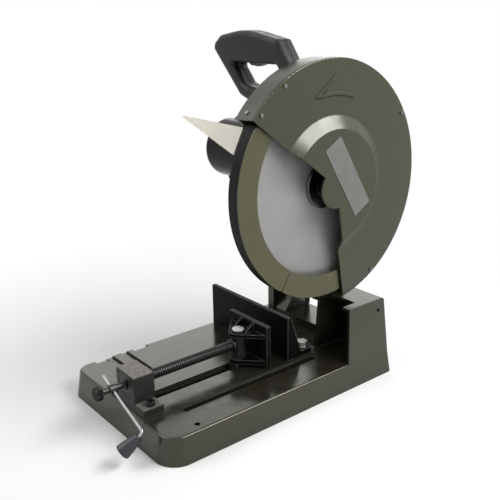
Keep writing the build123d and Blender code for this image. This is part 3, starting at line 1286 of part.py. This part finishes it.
with BuildPart() as slide_shoe:
    block((VISE_X - SHOE_HALF_W, VISE_X + SHOE_HALF_W), SHOE_Y, SHOE_Z[:2])
    block((VISE_X - TONGUE_HALF_W, VISE_X + TONGUE_HALF_W), SHOE_Y, SHOE_Z[1:])
    rod_z(SHOE_Z[1], SHOE_Z[2], PIN, PIN_R, Mode.SUBTRACT)
save(slide_shoe, "slide_shoe")

with BuildPart() as jaw_pin:
    rod_z(SHOE_Z[1], PIN_HEAD_Z[0], PIN, PIN_R)
    rod_z(*PIN_HEAD_Z, PIN, PIN_HEAD_R)
    fillet(jaw_pin.edges().group_by(Axis.Z)[-1], radius=1.5)
save(jaw_pin, "jaw_pin")

# Jaw: face plate, two webs on the pin and two ribs
jaw_back_y = JAW_FACE_Y - JAW_T
with BuildPart() as vise_jaw:
    block((VISE_X - JAW_HALF_W, VISE_X + JAW_HALF_W), (jaw_back_y, JAW_FACE_Y), JAW_Z)
    chamfer(vise_jaw.edges(), 0.8)
    for zs in JAW_WEBS_Z:
        with BuildSketch(level(zs[0])) as web:
            with Locations(PIN):
                Circle(JAW_BOSS_R)
            with Locations((VISE_X, jaw_back_y + 1)):
                Rectangle(2 * JAW_HALF_W - 12, 2)
            make_hull(web.edges())
        extrude(web.sketch, amount=zs[1] - zs[0])
    web_top = JAW_WEBS_Z[1][1]
    rib = [(PIN[1], web_top), (jaw_back_y + 1, web_top), (jaw_back_y + 1, JAW_Z[1] - 2)]
    plate_x(VISE_X + JAW_RIB[0], VISE_X + JAW_RIB[1], rib)
    plate_x(VISE_X - JAW_RIB[1], VISE_X - JAW_RIB[0], rib)
    rod_z(JAW_Z[0], PIN_HEAD_Z[0], PIN, PIN_R + RUNNING_GAP, Mode.SUBTRACT)
save(vise_jaw, "vise_jaw")

# Fence: upright plate, gussets and a foot with an arc slot
fence_z = DECK_Z + LIFT
foot_top_z = fence_z + FENCE_FOOT_T
fence_back_y = FENCE_Y + FENCE_T
with BuildPart() as fence:
    block(FENCE_X, (FENCE_Y, fence_back_y), (fence_z, FENCE_TOP_Z))
    chamfer(fence.edges().group_by(Axis.Z)[-1], 1)
    block((FENCE_FOOT_X, FENCE_X[1]), (fence_back_y - 1, FENCE_FOOT_Y), (fence_z, foot_top_z))
    fillet(fence.edges().filter_by(Axis.Z).group_by(Axis.Y)[-1], radius=14)
    gusset = [(fence_back_y, FENCE_TOP_Z - 3), (FENCE_GUSSET_Y, foot_top_z), (fence_back_y, foot_top_z)]
    for xs in FENCE_GUSSETS_X:
        plate_x(*xs, gusset)
    rod_z(fence_z, foot_top_z, FENCE_PIVOT, FENCE_BOLT_R + RUNNING_GAP, Mode.SUBTRACT)
    slot_r = FENCE_BOLT_R + LIFT
    turns = [180 + FENCE_SWING * i / 6 for i in range(7)]
    with BuildSketch(level(fence_z)) as arc_slot:
        outer_side = [polar(FENCE_PIVOT, FENCE_LOCK_RADIUS + slot_r, a) for a in turns]
        inner_side = [polar(FENCE_PIVOT, FENCE_LOCK_RADIUS - slot_r, a) for a in turns]
        Polygon(*outer_side, *inner_side[::-1], align=None)
        for a in (turns[0], turns[-1]):
            with Locations(polar(FENCE_PIVOT, FENCE_LOCK_RADIUS, a)):
                Circle(slot_r)
    extrude(arc_slot.sketch, amount=FENCE_FOOT_T, mode=Mode.SUBTRACT)
save(fence, "fence")

with BuildPart() as fence_bolts:
    washer_z = foot_top_z + LIFT
    for centre in fence_bolt_places:
        rod_z(CAVITY_Z, washer_z, centre, FENCE_BOLT_R)
        rod_z(washer_z, washer_z + 1.8, centre, FENCE_WASHER_R)
        hex_prism(level(washer_z + 1.8), centre, FENCE_HEX_R, FENCE_HEX_T)
save(fence_bolts, "fence_bolts")
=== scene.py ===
import json
import math

import bpy
from mathutils import Matrix, Vector


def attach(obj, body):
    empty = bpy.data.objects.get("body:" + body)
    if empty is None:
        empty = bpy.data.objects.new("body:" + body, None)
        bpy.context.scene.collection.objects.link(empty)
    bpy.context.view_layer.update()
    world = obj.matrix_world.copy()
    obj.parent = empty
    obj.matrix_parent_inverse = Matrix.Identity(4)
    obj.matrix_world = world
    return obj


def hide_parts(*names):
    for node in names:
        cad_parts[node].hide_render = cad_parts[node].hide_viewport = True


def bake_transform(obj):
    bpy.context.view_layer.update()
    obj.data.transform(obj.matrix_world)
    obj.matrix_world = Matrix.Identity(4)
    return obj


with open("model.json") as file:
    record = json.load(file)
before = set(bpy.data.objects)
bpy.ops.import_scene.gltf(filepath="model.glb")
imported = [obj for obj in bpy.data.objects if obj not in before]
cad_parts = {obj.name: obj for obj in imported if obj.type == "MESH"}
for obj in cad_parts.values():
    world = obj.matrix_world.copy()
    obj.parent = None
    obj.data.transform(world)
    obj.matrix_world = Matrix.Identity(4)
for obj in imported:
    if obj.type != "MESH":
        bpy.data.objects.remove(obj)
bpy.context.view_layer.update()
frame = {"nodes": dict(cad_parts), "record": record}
nodes = frame["nodes"]

MM = 0.001

# Sizes taken over from the solids
BLADE_CENTRE = (0.0, 118.9 * MM, 346.3 * MM)
TOOTH_ROOT_R = 172.5 * MM
HANDLE_SEAM_Y = 86 * MM

# Values of the finishes
SRGB_TOE = 10
SRGB_TOE_SLOPE = 3295
MIX_FIRST, MIX_SECOND, MIX_RESULT = 6, 7, 2
BEVEL_SAMPLES = 4
CREVICE_SAMPLES = 8
EDGE_BEND = (0.97, 0.8)
CREVICE_OPENNESS = (0.97, 0.75)
CREVICE_REACH = 5
SEAM_EDGES = (0.25 * MM, 0.55 * MM)
TOOTH_TIP_BAND = 1.5 * MM
TURNED_RING_SCALE = 1500.0
SHEET_WAVE_SCALE = 160.0

finishes = {}


def linear(level):
    """Linear value of one 8-bit display level, by the sRGB curve."""
    if level > SRGB_TOE:
        return ((level / 255 + 0.055) / 1.055) ** 2.4
    return level / SRGB_TOE_SLOPE


def rgb(*levels):
    """Linear colour of an 8-bit display colour."""
    return tuple(linear(level) for level in levels)


class Finish:
    """A procedural material round one Principled shader."""

    def __init__(self, name, color, roughness, metallic=0.0, **sockets):
        self.material = bpy.data.materials.new(name)
        self.material.use_nodes = True
        self.tree = self.material.node_tree
        self.shader = self.tree.nodes["Principled BSDF"]
        self.color = color
        self.put("Base Color", (*color, 1))
        self.put("Roughness", roughness)
        self.put("Metallic", metallic)
        for socket, value in sockets.items():
            self.put(socket.replace("_", " ").title().replace("Ior", "IOR"), value)
        self.point = self.node("ShaderNodeTexCoord").outputs["Object"]
        finishes[name] = self.material

    def put(self, socket, value):
        """Sets a constant on the shader's own socket."""
        self.shader.inputs[socket].default_value = value

    def link(self, source, socket):
        self.tree.links.new(source, self.shader.inputs[socket])

    def node(self, kind, inputs=None, **settings):
        """Adds a node; inputs maps a socket to a value or to another node's output."""
        made = self.tree.nodes.new(kind)
        for setting, value in settings.items():
            setattr(made, setting, value)
        for socket, value in (inputs or {}).items():
            if isinstance(value, bpy.types.NodeSocket):
                self.tree.links.new(value, made.inputs[socket])
            else:
                made.inputs[socket].default_value = value
        return made

    def placed(self, offset=(0, 0, 0), scale=(1, 1, 1)):
        """The object's own coordinates, scaled and then moved."""
        inputs = {"Vector": self.point, "Location": offset, "Scale": scale}
        return self.node("ShaderNodeMapping", inputs).outputs["Vector"]

    def noise(self, size, detail=3.0, stretch=(1, 1, 1)):
        """Noise with features of about size millimetres."""
        inputs = {"Vector": self.placed(scale=stretch), "Scale": 1 / (size * MM), "Detail": detail}
        return self.node("ShaderNodeTexNoise", inputs).outputs["Fac"]

    def patches(self, size, start, end):
        """Soft patches of about size millimetres that run from one value to another."""
        return self.remap(self.noise(size, 4), 0.3, 0.7, start, end)

    def cells(self, size):
        """Distance from the middles of cells of about size millimetres."""
        inputs = {"Vector": self.point, "Scale": 1 / (size * MM)}
        return self.node("ShaderNodeTexVoronoi", inputs).outputs["Distance"]

    def remap(self, value, low, high, start, end):
        """Takes low to start and high to end, and clamps beyond them."""
        inputs = {"Value": value, "From Min": low, "From Max": high, "To Min": start, "To Max": end}
        return self.node("ShaderNodeMapRange", inputs).outputs["Result"]

    def math(self, operation, first, second=0.0):
        return self.node("ShaderNodeMath", {0: first, 1: second}, operation=operation).outputs[0]

    def mix(self, amount, first, second):
        """Colour between two colours, each a triple or another node's output."""
        inputs = {"Factor": amount}
        for socket, value in ((MIX_FIRST, first), (MIX_SECOND, second)):
            inputs[socket] = value if isinstance(value, bpy.types.NodeSocket) else (*value, 1)
        return self.node("ShaderNodeMix", inputs, data_type="RGBA").outputs[MIX_RESULT]

    def shade(self, factor):
        """The finish's own colour, made darker or lighter."""
        return tuple(min(c * factor, 1) for c in self.color)

    def axis(self, name):
        return self.node("ShaderNodeSeparateXYZ", {"Vector": self.point}).outputs[name]

    def radius(self, centre):
        """Distance from an axis along X through centre."""
        placed = self.placed(offset=tuple(-c for c in centre), scale=(0, 1, 1))
        return self.node("ShaderNodeVectorMath", {0: placed}, operation="LENGTH").outputs["Value"]

    def soft_normal(self, radius):
        """Normal with the edges rounded by a radius in millimetres."""
        inputs = {"Radius": radius * MM}
        return self.node("ShaderNodeBevel", inputs, samples=BEVEL_SAMPLES).outputs["Normal"]

    def edges(self, radius):
        """Near 1 along the outer and inner edges of the form, 0 on its faces."""
        normal = self.node("ShaderNodeNewGeometry").outputs["Normal"]
        pair = {0: self.soft_normal(radius), 1: normal}
        same = self.node("ShaderNodeVectorMath", pair, operation="DOT_PRODUCT").outputs["Value"]
        return self.remap(same, *EDGE_BEND, 0.0, 1.0)

    def crevice(self, reach):
        """Near 1 in inner corners within reach millimetres, 0 on open faces."""
        inputs = {"Distance": reach * MM}
        settings = {"samples": CREVICE_SAMPLES, "only_local": True}
        free = self.node("ShaderNodeAmbientOcclusion", inputs, **settings)
        return self.remap(free.outputs["AO"], *CREVICE_OPENNESS, 0.0, 1.0)

    def bump(self, height, depth, strength=1.0, edge=0.6):
        """Relief of a depth in millimetres over softened edges."""
        inputs = {"Height": height, "Distance": depth * MM, "Strength": strength}
        inputs["Normal"] = self.soft_normal(edge)
        self.link(self.node("ShaderNodeBump", inputs).outputs["Normal"], "Normal")


def paint(name, color, roughness, peel=1.4, edge=1.1, wear_and_glint=0.35, worn=None, **sockets):
    """Enamel with orange peel and fine dust, painted shade in inner corners, and edges made lighter
    as rubbed wear and a painted highlight.
    """
    finish = Finish(name, color, roughness, **sockets)
    tone = finish.mix(finish.noise(60, 5), finish.shade(0.86), finish.shade(1.14))
    dust = finish.remap(finish.noise(0.9, 2), 0.62, 0.8, 0.0, 0.22)
    tone = finish.mix(dust, tone, finish.shade(1.9))
    # Painted shade: inner corners within reach are darkened and made duller
    corner_shade = finish.crevice(CREVICE_REACH)
    tone = finish.mix(finish.math("MULTIPLY", corner_shade, 0.9), tone, finish.shade(0.1))
    # Edges lighter: rubbed wear and a painted edge highlight, kept off the painted corner shade
    rubbed_and_glint = finish.math("MULTIPLY", finish.edges(edge), finish.patches(7, 0.3 * wear_and_glint, wear_and_glint))
    rubbed_and_glint = finish.math("MULTIPLY", rubbed_and_glint, finish.math("SUBTRACT", 1.0, corner_shade))
    finish.link(finish.mix(rubbed_and_glint, tone, worn or finish.shade(3.2)), "Base Color")
    uneven = finish.patches(25, roughness - 0.06, roughness + 0.07)
    finish.link(finish.math("MAXIMUM", uneven, corner_shade), "Roughness")
    finish.bump(finish.noise(peel, 2), 0.025, 0.5)


def cast(name, color, roughness, grain=2.4, edge=1.0, lit_top=None, worn=None, relief=0.28, **sockets):
    """Sand-cast surface, speckled, with paler edges as worn iron and a painted highlight, and,
    where given, a lighter colour on upward faces as rubbed iron and painted light from above.
    """
    finish = Finish(name, color, roughness, **sockets)
    tone = finish.mix(finish.noise(18, 6), finish.shade(0.7), finish.shade(1.35))
    speck = finish.remap(finish.noise(1.8, 3), 0.56, 0.72, 0.0, 0.6)
    tone = finish.mix(speck, tone, finish.shade(3.0))
    if lit_top:
        # Painted light from above: upward faces get a lighter colour, partly rubbed iron
        normal = finish.node("ShaderNodeNewGeometry").outputs["Normal"]
        facing = finish.node("ShaderNodeSeparateXYZ", {"Vector": normal}).outputs["Z"]
        upward = finish.remap(facing, 0.75, 0.95, 0.0, 1.0)
        tone = finish.mix(finish.math("MULTIPLY", upward, finish.patches(5, 0.35, 1.0)), tone, lit_top)
    # Edges paler: broken, worn iron and a painted edge highlight
    broken_and_glint = finish.math("MULTIPLY", finish.edges(edge), finish.patches(5, 0.2, 0.75))
    finish.link(finish.mix(broken_and_glint, tone, worn or finish.shade(4.5)), "Base Color")
    finish.link(finish.patches(4, roughness - 0.12, roughness + 0.12), "Roughness")
    finish.bump(finish.noise(grain, 5), relief, 0.7, edge=0.9)


def steel(name, color, roughness, stretch=(1, 1, 1), lines=0.5, stain=0.18, **sockets):
    """Bare or plated metal with fine tool lines along the axis that stretch makes long."""
    finish = Finish(name, color, roughness, metallic=1.0, **sockets)
    line = finish.noise(lines, 3, stretch)
    tone = finish.mix(finish.noise(14, 5), finish.shade(1 - stain), finish.shade(1 + stain))
    tone = finish.mix(finish.remap(line, 0.35, 0.65, 0.0, 0.35), tone, finish.shade(0.72))
    finish.link(tone, "Base Color")
    finish.link(finish.remap(line, 0.3, 0.7, roughness - 0.07, roughness + 0.09), "Roughness")
    finish.bump(line, 0.03, 0.5, edge=0.5)


def plastic(name, color, roughness, grain=0.7, relief=0.06, edge=0.8, seam=None, **sockets):
    """Moulded plastic with a fine texture and, where given, a parting line at a place in Y."""
    finish = Finish(name, color, roughness, **sockets)
    tone = finish.mix(finish.noise(35, 4), finish.shade(0.88), finish.shade(1.12))
    # Edges lighter: polish from handling and a painted sheen
    polish_and_sheen = finish.math("MULTIPLY", finish.edges(1.2), 0.35)
    tone = finish.mix(polish_and_sheen, tone, finish.shade(2.2))
    if seam is not None:
        away = finish.math("ABSOLUTE", finish.math("SUBTRACT", finish.axis("Y"), seam))
        line = finish.remap(away, *SEAM_EDGES, 0.85, 0.0)
        tone = finish.mix(line, tone, finish.shade(0.15))
    finish.link(tone, "Base Color")
    finish.link(finish.patches(12, roughness - 0.07, roughness + 0.07), "Roughness")
    finish.bump(finish.cells(grain), relief, 0.6, edge)


def blade_finish():
    """Ground saw plate with turned lines round the arbor and brighter tooth tips."""
    ground = {"metallic": 0.5, "anisotropic": 0.4}
    finish = Finish("blade_steel", (0.3, 0.297, 0.29), 0.45, **ground)
    tip_color = (0.62, 0.6, 0.56)
    radius = finish.radius(BLADE_CENTRE)
    inputs = {"W": radius, "Scale": TURNED_RING_SCALE, "Detail": 4.0}
    rings = finish.node("ShaderNodeTexNoise", inputs, noise_dimensions="1D").outputs["Fac"]
    tone = finish.mix(finish.noise(40, 4), finish.shade(0.86), finish.shade(1.1))
    tone = finish.mix(finish.remap(rings, 0.35, 0.65, 0.0, 0.3), tone, finish.shade(0.7))
    tip = finish.remap(radius, TOOTH_ROOT_R, TOOTH_ROOT_R + TOOTH_TIP_BAND, 0.0, 0.7)
    finish.link(finish.mix(tip, tone, tip_color), "Base Color")
    finish.link(finish.remap(rings, 0.3, 0.7, 0.38, 0.52), "Roughness")
    turned = finish.node("ShaderNodeTangent", direction_type="RADIAL", axis="X")
    finish.link(turned.outputs["Tangent"], "Tangent")
    finish.bump(rings, 0.02, 0.4, edge=0.3)


def stacked_finish():
    """Thin steel sheets stacked along the motor's axis."""
    finish = Finish("lamination", (0.2, 0.19, 0.18), 0.5, metallic=0.9)
    rust_color = (0.16, 0.1, 0.06)
    inputs = {"Vector": finish.point, "Scale": SHEET_WAVE_SCALE}
    sheet = finish.node("ShaderNodeTexWave", inputs, bands_direction="X").outputs["Fac"]
    tone = finish.mix(finish.remap(sheet, 0.1, 0.5, 0.0, 1.0), finish.shade(0.35), finish.color)
    rust = finish.remap(finish.noise(9, 5), 0.5, 0.75, 0.0, 0.4)
    finish.link(finish.mix(rust, tone, rust_color), "Base Color")
    finish.bump(sheet, 0.08, 0.7)


def clear_finish():
    """Cast polycarbonate sheet, faintly yellowed and scuffed by chips."""
    clear = {"transmission_weight": 0.2, "ior": 1.5, "coat_weight": 0.6}
    finish = Finish("clear_plastic", rgb(254, 248, 233), 0.1, **clear)
    haze = finish.remap(finish.noise(14, 5), 0.4, 0.75, 0.0, 0.4)
    finish.link(finish.mix(haze, finish.color, finish.shade(0.92)), "Base Color")
    scuff = finish.noise(1.2, 4, (1, 0.25, 1))
    finish.link(finish.remap(scuff, 0.5, 0.8, 0.1, 0.32), "Roughness")
    finish.bump(scuff, 0.02, 0.3)


# Painted slots
guard_gloss = {"specular_ior_level": 0.6, "specular_tint": (1, 1, 0.94, 1)}
base_gloss = {"specular_ior_level": 0.66, "specular_tint": (1, 0.99, 0.82, 1)}
swing_guard_gloss = {"specular_ior_level": 0.7, "specular_tint": (1, 1, 0.82, 1)}
paint("guard_paint", rgb(46, 47, 29), 0.23, wear_and_glint=0.1, **guard_gloss)
paint("base_paint", rgb(33, 31, 24), 0.2, peel=2.2, edge=1.6, wear_and_glint=0.5, **base_gloss)
paint("swing_guard_paint", rgb(62, 61, 38), 0.36, wear_and_glint=0.5, **swing_guard_gloss)
# Pale colour of the black paint's edges: chipped paint and a painted edge highlight
chipped_and_glint = rgb(150, 148, 142)
paint("black_paint", rgb(11, 11, 10), 0.44, wear_and_glint=0.8, worn=chipped_and_glint, specular_ior_level=0.12)
paint("motor_black", rgb(8, 8, 9), 0.12, peel=1.0, wear_and_glint=0.2, specular_ior_level=0.14)

# Cast and pressed slots, and the darker iron of some pieces
# Pale colour of the iron's edges: bare worn iron and a painted edge highlight
bare_and_glint = rgb(176, 173, 166)
# Lighter colour for upward faces: rubbed iron and painted light from above
rubbed_and_lit_top = rgb(118, 113, 104)
iron = {"edge": 2.0, "worn": bare_and_glint}
cast("black_iron", rgb(34, 34, 33), 0.46, lit_top=rubbed_and_lit_top, specular_ior_level=0.25, **iron)
cast("worked_iron", rgb(9, 9, 8), 0.46, specular_ior_level=0.08, **iron)
cast("cast_aluminium", (0.5, 0.5, 0.49), 0.5, relief=0.18, metallic=0.9)
cast("carbon", rgb(38, 38, 40), 0.6, grain=0.8, relief=0.08)

# Metal slots
blade_finish()
steel("bright_steel", (0.34, 0.34, 0.34), 0.3, stretch=(0.1, 1, 1))
steel("zinc", (0.42, 0.42, 0.4), 0.34, stain=0.25)
steel("bare_label", rgb(132, 132, 128), 0.42, stretch=(1, 0.04, 1), lines=0.4)
steel("black_oxide", (0.05, 0.05, 0.052), 0.42, stain=0.4)
steel("dark_steel", (0.07, 0.07, 0.073), 0.36, stain=0.35)
steel("gear_steel", (0.4, 0.39, 0.37), 0.34, stretch=(0.15, 1, 1))
steel("screw_steel", (0.065, 0.065, 0.063), 0.38, stretch=(1, 0.3, 1), stain=0.3)
steel("spring_steel", (0.2, 0.2, 0.21), 0.38, stretch=(0.3, 1, 1), stain=0.3)
steel("bronze", (0.56, 0.35, 0.14), 0.38, stretch=(1, 0.3, 1), stain=0.3)
stacked_finish()

# Plastic and rubber slots
clear_finish()
moulded = {"relief": 0.03, "edge": 9, "seam": HANDLE_SEAM_Y, "specular_ior_level": 0.28}
plastic("handle_plastic", rgb(16, 17, 16), 0.34, **moulded)
plastic("switch_plastic", rgb(34, 34, 34), 0.45)
plastic("trigger_plastic", rgb(22, 22, 23), 0.38, grain=0.5, relief=0.03)
plastic("grip_plastic", rgb(36, 38, 43), 0.3, grain=0.5, relief=0.02)
plastic("fan_plastic", rgb(60, 62, 66), 0.45, grain=0.5, relief=0.03)
plastic("brush_cap_plastic", rgb(24, 24, 25), 0.4, grain=0.5, relief=0.03)
plastic("gland_rubber", rgb(26, 26, 26), 0.65, grain=0.4, relief=0.05)

# Pieces that look darker than others of their slot
darker = dict.fromkeys(("vise_jaw", "fence", "end_knob"), "worked_iron")
darker["guard_screws"] = "spring_steel"
for part in frame["record"]["subparts"]:
    slots = nodes[part["node"]].data.materials
    slots.clear()
    slots.append(finishes[darker.get(part["node"], part["material_slot"])])


def piece(name, points, faces, slot):
    """Smooth mesh piece with the finish of a slot."""
    mesh = bpy.data.meshes.new(name)
    mesh.from_pydata(points, [], faces)
    mesh.update()
    mesh.shade_smooth()
    mesh.materials.append(finishes[slot])
    made = bpy.data.objects.new(name, mesh)
    bpy.context.scene.collection.objects.link(made)
    return made


# Vise screw with its real thread, in place of the plain rod
SCREW_AXIS = (21 * MM, 82 * MM)
LEAD = 4 * MM
CREST_R = 8.4 * MM
ROOT_R = 6.5 * MM
THREAD_Y = (-226.8 * MM, -19.5 * MM)
TURN_STEPS = 36
THREAD_CREASE = math.radians(35)
# The thread has shares of the lead and radii in metres, the others y and radius in millimetres
THREAD_PROFILE = ((0.0, ROOT_R), (0.2, CREST_R), (0.52, CREST_R), (0.72, ROOT_R))
HUB_PROFILE = ((-249.3, 0), (-249.3, 6.9), (-248.7, 7.5))
HUB_PROFILE += ((-237.9, 7.5), (-237.3, 6.9), (-237.3, 0))
NECK_PROFILE = ((-266, 0), (-266, 4.5), (-227, 4.5), (-227, 6.5), (-222, 6.5), (-222, 0))
JOURNAL_PROFILE = ((-20.5, 0), (-20.5, 8.4), (-17.3, 8.4), (-17.3, 5))
JOURNAL_PROFILE += ((-12.1, 5), (-11.5, 4.4), (-11.5, 0))


def round_screw(y, radius, angle):
    """Point at an angle round the screw's axis."""
    x, z = SCREW_AXIS
    return (x + radius * math.sin(angle), y, z + radius * math.cos(angle))


def thread_mesh():
    """Points and faces of one ridge wound along the screw."""
    points, faces = [], []
    rows = int((THREAD_Y[1] - THREAD_Y[0]) / LEAD * TURN_STEPS)
    width = len(THREAD_PROFILE)
    for row in range(rows):
        turn = row / TURN_STEPS
        for share, radius in THREAD_PROFILE:
            y = THREAD_Y[0] + LEAD * (turn + share)
            points.append(round_screw(y, radius, 2 * math.pi * turn))
    for row in range(rows - 1):
        here, there = row * width, (row + 1) * width
        for side in range(width - 1):
            low, high = here + side, there + side
            faces.append((low, high, high + 1, low + 1))
        if row + 1 + TURN_STEPS < rows:
            ahead = TURN_STEPS * width
            faces.append((here + width - 1, there + width - 1, there + ahead, here + ahead))
    return points, faces


def turned_mesh(profile, first):
    """Points and faces of a turned shape from (y, radius) pairs in millimetres."""
    points, faces = [], []
    for y, radius in profile:
        for step in range(TURN_STEPS):
            points.append(round_screw(y * MM, radius * MM, 2 * math.pi * step / TURN_STEPS))
    for ring in range(len(profile) - 1):
        for step in range(TURN_STEPS):
            after = (step + 1) % TURN_STEPS
            low, high = first + ring * TURN_STEPS, first + (ring + 1) * TURN_STEPS
            faces.append((low + step, low + after, high + after, high + step))
    return points, faces


points, faces = thread_mesh()
for profile in (HUB_PROFILE, NECK_PROFILE, JOURNAL_PROFILE):
    more_points, more_faces = turned_mesh(profile, len(points))
    points += more_points
    faces += more_faces
threaded_screw = piece("threaded_screw", points, faces, "screw_steel")
threaded_screw.data.set_sharp_from_angle(angle=THREAD_CREASE)
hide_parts("vise_screw")
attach(threaded_screw, "screw")

# Return spring round the pivot, built as it lies at rest; on the saw it winds up as the head comes
# down
PIVOT = (210 * MM, 119 * MM)
COIL_X = -48.2 * MM
COIL_R = 16 * MM
COIL_PITCH = 5.2 * MM
COIL_TURNS = 6
COIL_STEPS = 40
WIRE_R = 2.25 * MM
FOOT_LEG = 49.55 * MM
HEAD_LEG = 26 * MM
WIRE_SIDES = 14
WIRE_CREASE = math.radians(50)


def coil_ring(turn, along):
    """Ring of points round the wire at a turn of the coil, moved along the wire's own line."""
    angle = 2 * math.pi * turn
    outward = Vector((0, math.cos(angle), math.sin(angle)))
    run = 2 * math.pi * COIL_R
    forward = Vector((COIL_PITCH, -run * math.sin(angle), run * math.cos(angle))).normalized()
    across = forward.cross(outward)
    centre = Vector((COIL_X + COIL_PITCH * turn, *PIVOT)) + outward * COIL_R + forward * along
    ring = []
    for step in range(WIRE_SIDES):
        side = 2 * math.pi * step / WIRE_SIDES
        ring.append(centre + (outward * math.cos(side) + across * math.sin(side)) * WIRE_R)
    return ring


# Stations along the wire: the turn of the coil and the way past it on a leg
stations = [(0, -FOOT_LEG), (0, -FOOT_LEG / 2)]
stations += [(step / COIL_STEPS, 0) for step in range(COIL_TURNS * COIL_STEPS + 1)]
stations += [(COIL_TURNS, HEAD_LEG / 2), (COIL_TURNS, HEAD_LEG)]
points = [point for station in stations for point in coil_ring(*station)]
last = len(points) - 1
faces = [tuple(range(WIRE_SIDES)), tuple(range(last, last - WIRE_SIDES, -1))]
for ring in range(len(stations) - 1):
    for step in range(WIRE_SIDES):
        after = (step + 1) % WIRE_SIDES
        low, high = ring * WIRE_SIDES, (ring + 1) * WIRE_SIDES
        faces.append((low + step, high + step, high + after, low + after))
coil_spring = piece("coil_spring", points, faces, "spring_steel")
coil_spring.data.set_sharp_from_angle(angle=WIRE_CREASE)
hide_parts("return_spring")
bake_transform(coil_spring)

# Pale floor that fades to white away from the saw and keeps its shadow near it
FLOOR_COLOR = (0.88, 0.88, 0.875)
FLOOR_HALF = 4.5
FLOOR_Z = -0.2 * MM
FADE = (0.28, 0.85)
floor_mesh = bpy.data.meshes.new("floor")
signs = ((-1, -1), (1, -1), (1, 1), (-1, 1))
corners = [(x * FLOOR_HALF, y * FLOOR_HALF, FLOOR_Z) for x, y in signs]
floor_mesh.from_pydata(corners, [], [(0, 1, 2, 3)])
pale = Finish("floor", FLOOR_COLOR, 0.85, specular_ior_level=0.1)
pale.bump(pale.noise(40, 3), 0.1, 0.2)
away = pale.node("ShaderNodeVectorMath", {0: pale.point}, operation="LENGTH").outputs["Value"]
path = pale.node("ShaderNodeLightPath").outputs
shown = pale.math("MAXIMUM", path["Is Camera Ray"], path["Is Glossy Ray"])
shown = pale.math("MAXIMUM", shown, path["Is Transmission Ray"])
fade = pale.math("MULTIPLY", shown, pale.remap(away, *FADE, 0.0, 1.0))
white = pale.node("ShaderNodeEmission").outputs["Emission"]
layers = {0: fade, 1: pale.shader.outputs["BSDF"], 2: white}
merged = pale.node("ShaderNodeMixShader", layers).outputs["Shader"]
pale.tree.links.new(merged, pale.tree.nodes["Material Output"].inputs["Surface"])
floor_mesh.materials.append(pale.material)
floor = bpy.data.objects.new("floor", floor_mesh)
bpy.context.scene.collection.objects.link(floor)

# White background, with a lower level for the light that it gives
AMBIENT = 0.34
world = bpy.data.worlds.new("studio")
bpy.context.scene.world = world
world.use_nodes = True
sky = world.node_tree
background = sky.nodes["Background"]
background.inputs["Color"].default_value = (1, 1, 1, 1)
sky_path = sky.nodes.new("ShaderNodeLightPath")
seen = sky_path.outputs["Is Camera Ray"]
for kind in ("Is Glossy Ray", "Is Transmission Ray"):
    either = sky.nodes.new("ShaderNodeMath")
    either.operation = "MAXIMUM"
    sky.links.new(seen, either.inputs[0])
    sky.links.new(sky_path.outputs[kind], either.inputs[1])
    seen = either.outputs[0]
level = sky.nodes.new("ShaderNodeMapRange")
level.inputs["To Min"].default_value = AMBIENT
level.inputs["To Max"].default_value = 1.0
sky.links.new(seen, level.inputs["Value"])
sky.links.new(level.outputs["Result"], background.inputs["Strength"])


def softbox(name, place, target, along, size, power):
    """Rectangular area light that faces a target, its long side along a direction."""
    light = bpy.data.lights.new(name, "AREA")
    light.shape = "RECTANGLE"
    light.size, light.size_y = size
    light.energy = power
    back = (Vector(place) - Vector(target)).normalized()
    side = Vector(along).cross(back).normalized()
    lamp = bpy.data.objects.new(name, light)
    turn = Matrix((-back.cross(side), -side, back)).transposed()
    lamp.matrix_world = Matrix.Translation(place) @ turn.to_4x4()
    lamp.visible_camera = False
    bpy.context.scene.collection.objects.link(lamp)


softbox(
    "strip_light",
    place=(0.9, 0.58, 1.25),
    target=(0.1, 0.12, 0.4),
    along=(-0.5, 0.88, 0.05),
    size=(1.3, 0.5),
    power=24,
)
softbox(
    "back_light",
    place=(-1.45, 1.2, 0.75),
    target=(0, 0, 0.1),
    along=(0.63, 0.78, 0),
    size=(2.2, 1.0),
    power=7,
)
softbox(
    "fill_light",
    place=(-0.9, -1.2, 1.9),
    target=(0, 0, 0.2),
    along=(1, 0, 0),
    size=(1.6, 1.6),
    power=18,
)

# Camera at the photograph's viewing angle
CAMERA_PLACE = (0.88503, -0.67763, 0.60919)
YAW = math.radians(50.99)
PITCH = math.radians(18.35)
ROLL = math.radians(-0.72)
SENSOR_WIDTH = 36
FOCAL_LENGTH = 51.66
level_ahead = Vector((-math.sin(YAW), math.cos(YAW), 0))
forward = math.cos(PITCH) * level_ahead - Vector((0, 0, math.sin(PITCH)))
right = Vector((math.cos(YAW), math.sin(YAW), 0))
upward = right.cross(forward)
camera_right = math.cos(ROLL) * right + math.sin(ROLL) * upward
camera_up = math.cos(ROLL) * upward - math.sin(ROLL) * right
lens = bpy.data.cameras.new("photo_camera")
lens.sensor_width = SENSOR_WIDTH
lens.lens = FOCAL_LENGTH
camera = bpy.data.objects.new("photo_camera", lens)
turn = Matrix((camera_right, camera_up, -forward)).transposed()
camera.matrix_world = Matrix.Translation(CAMERA_PLACE) @ turn.to_4x4()
bpy.context.scene.collection.objects.link(camera)
bpy.context.scene.camera = camera
bpy.context.scene.view_settings.view_transform = "Standard"
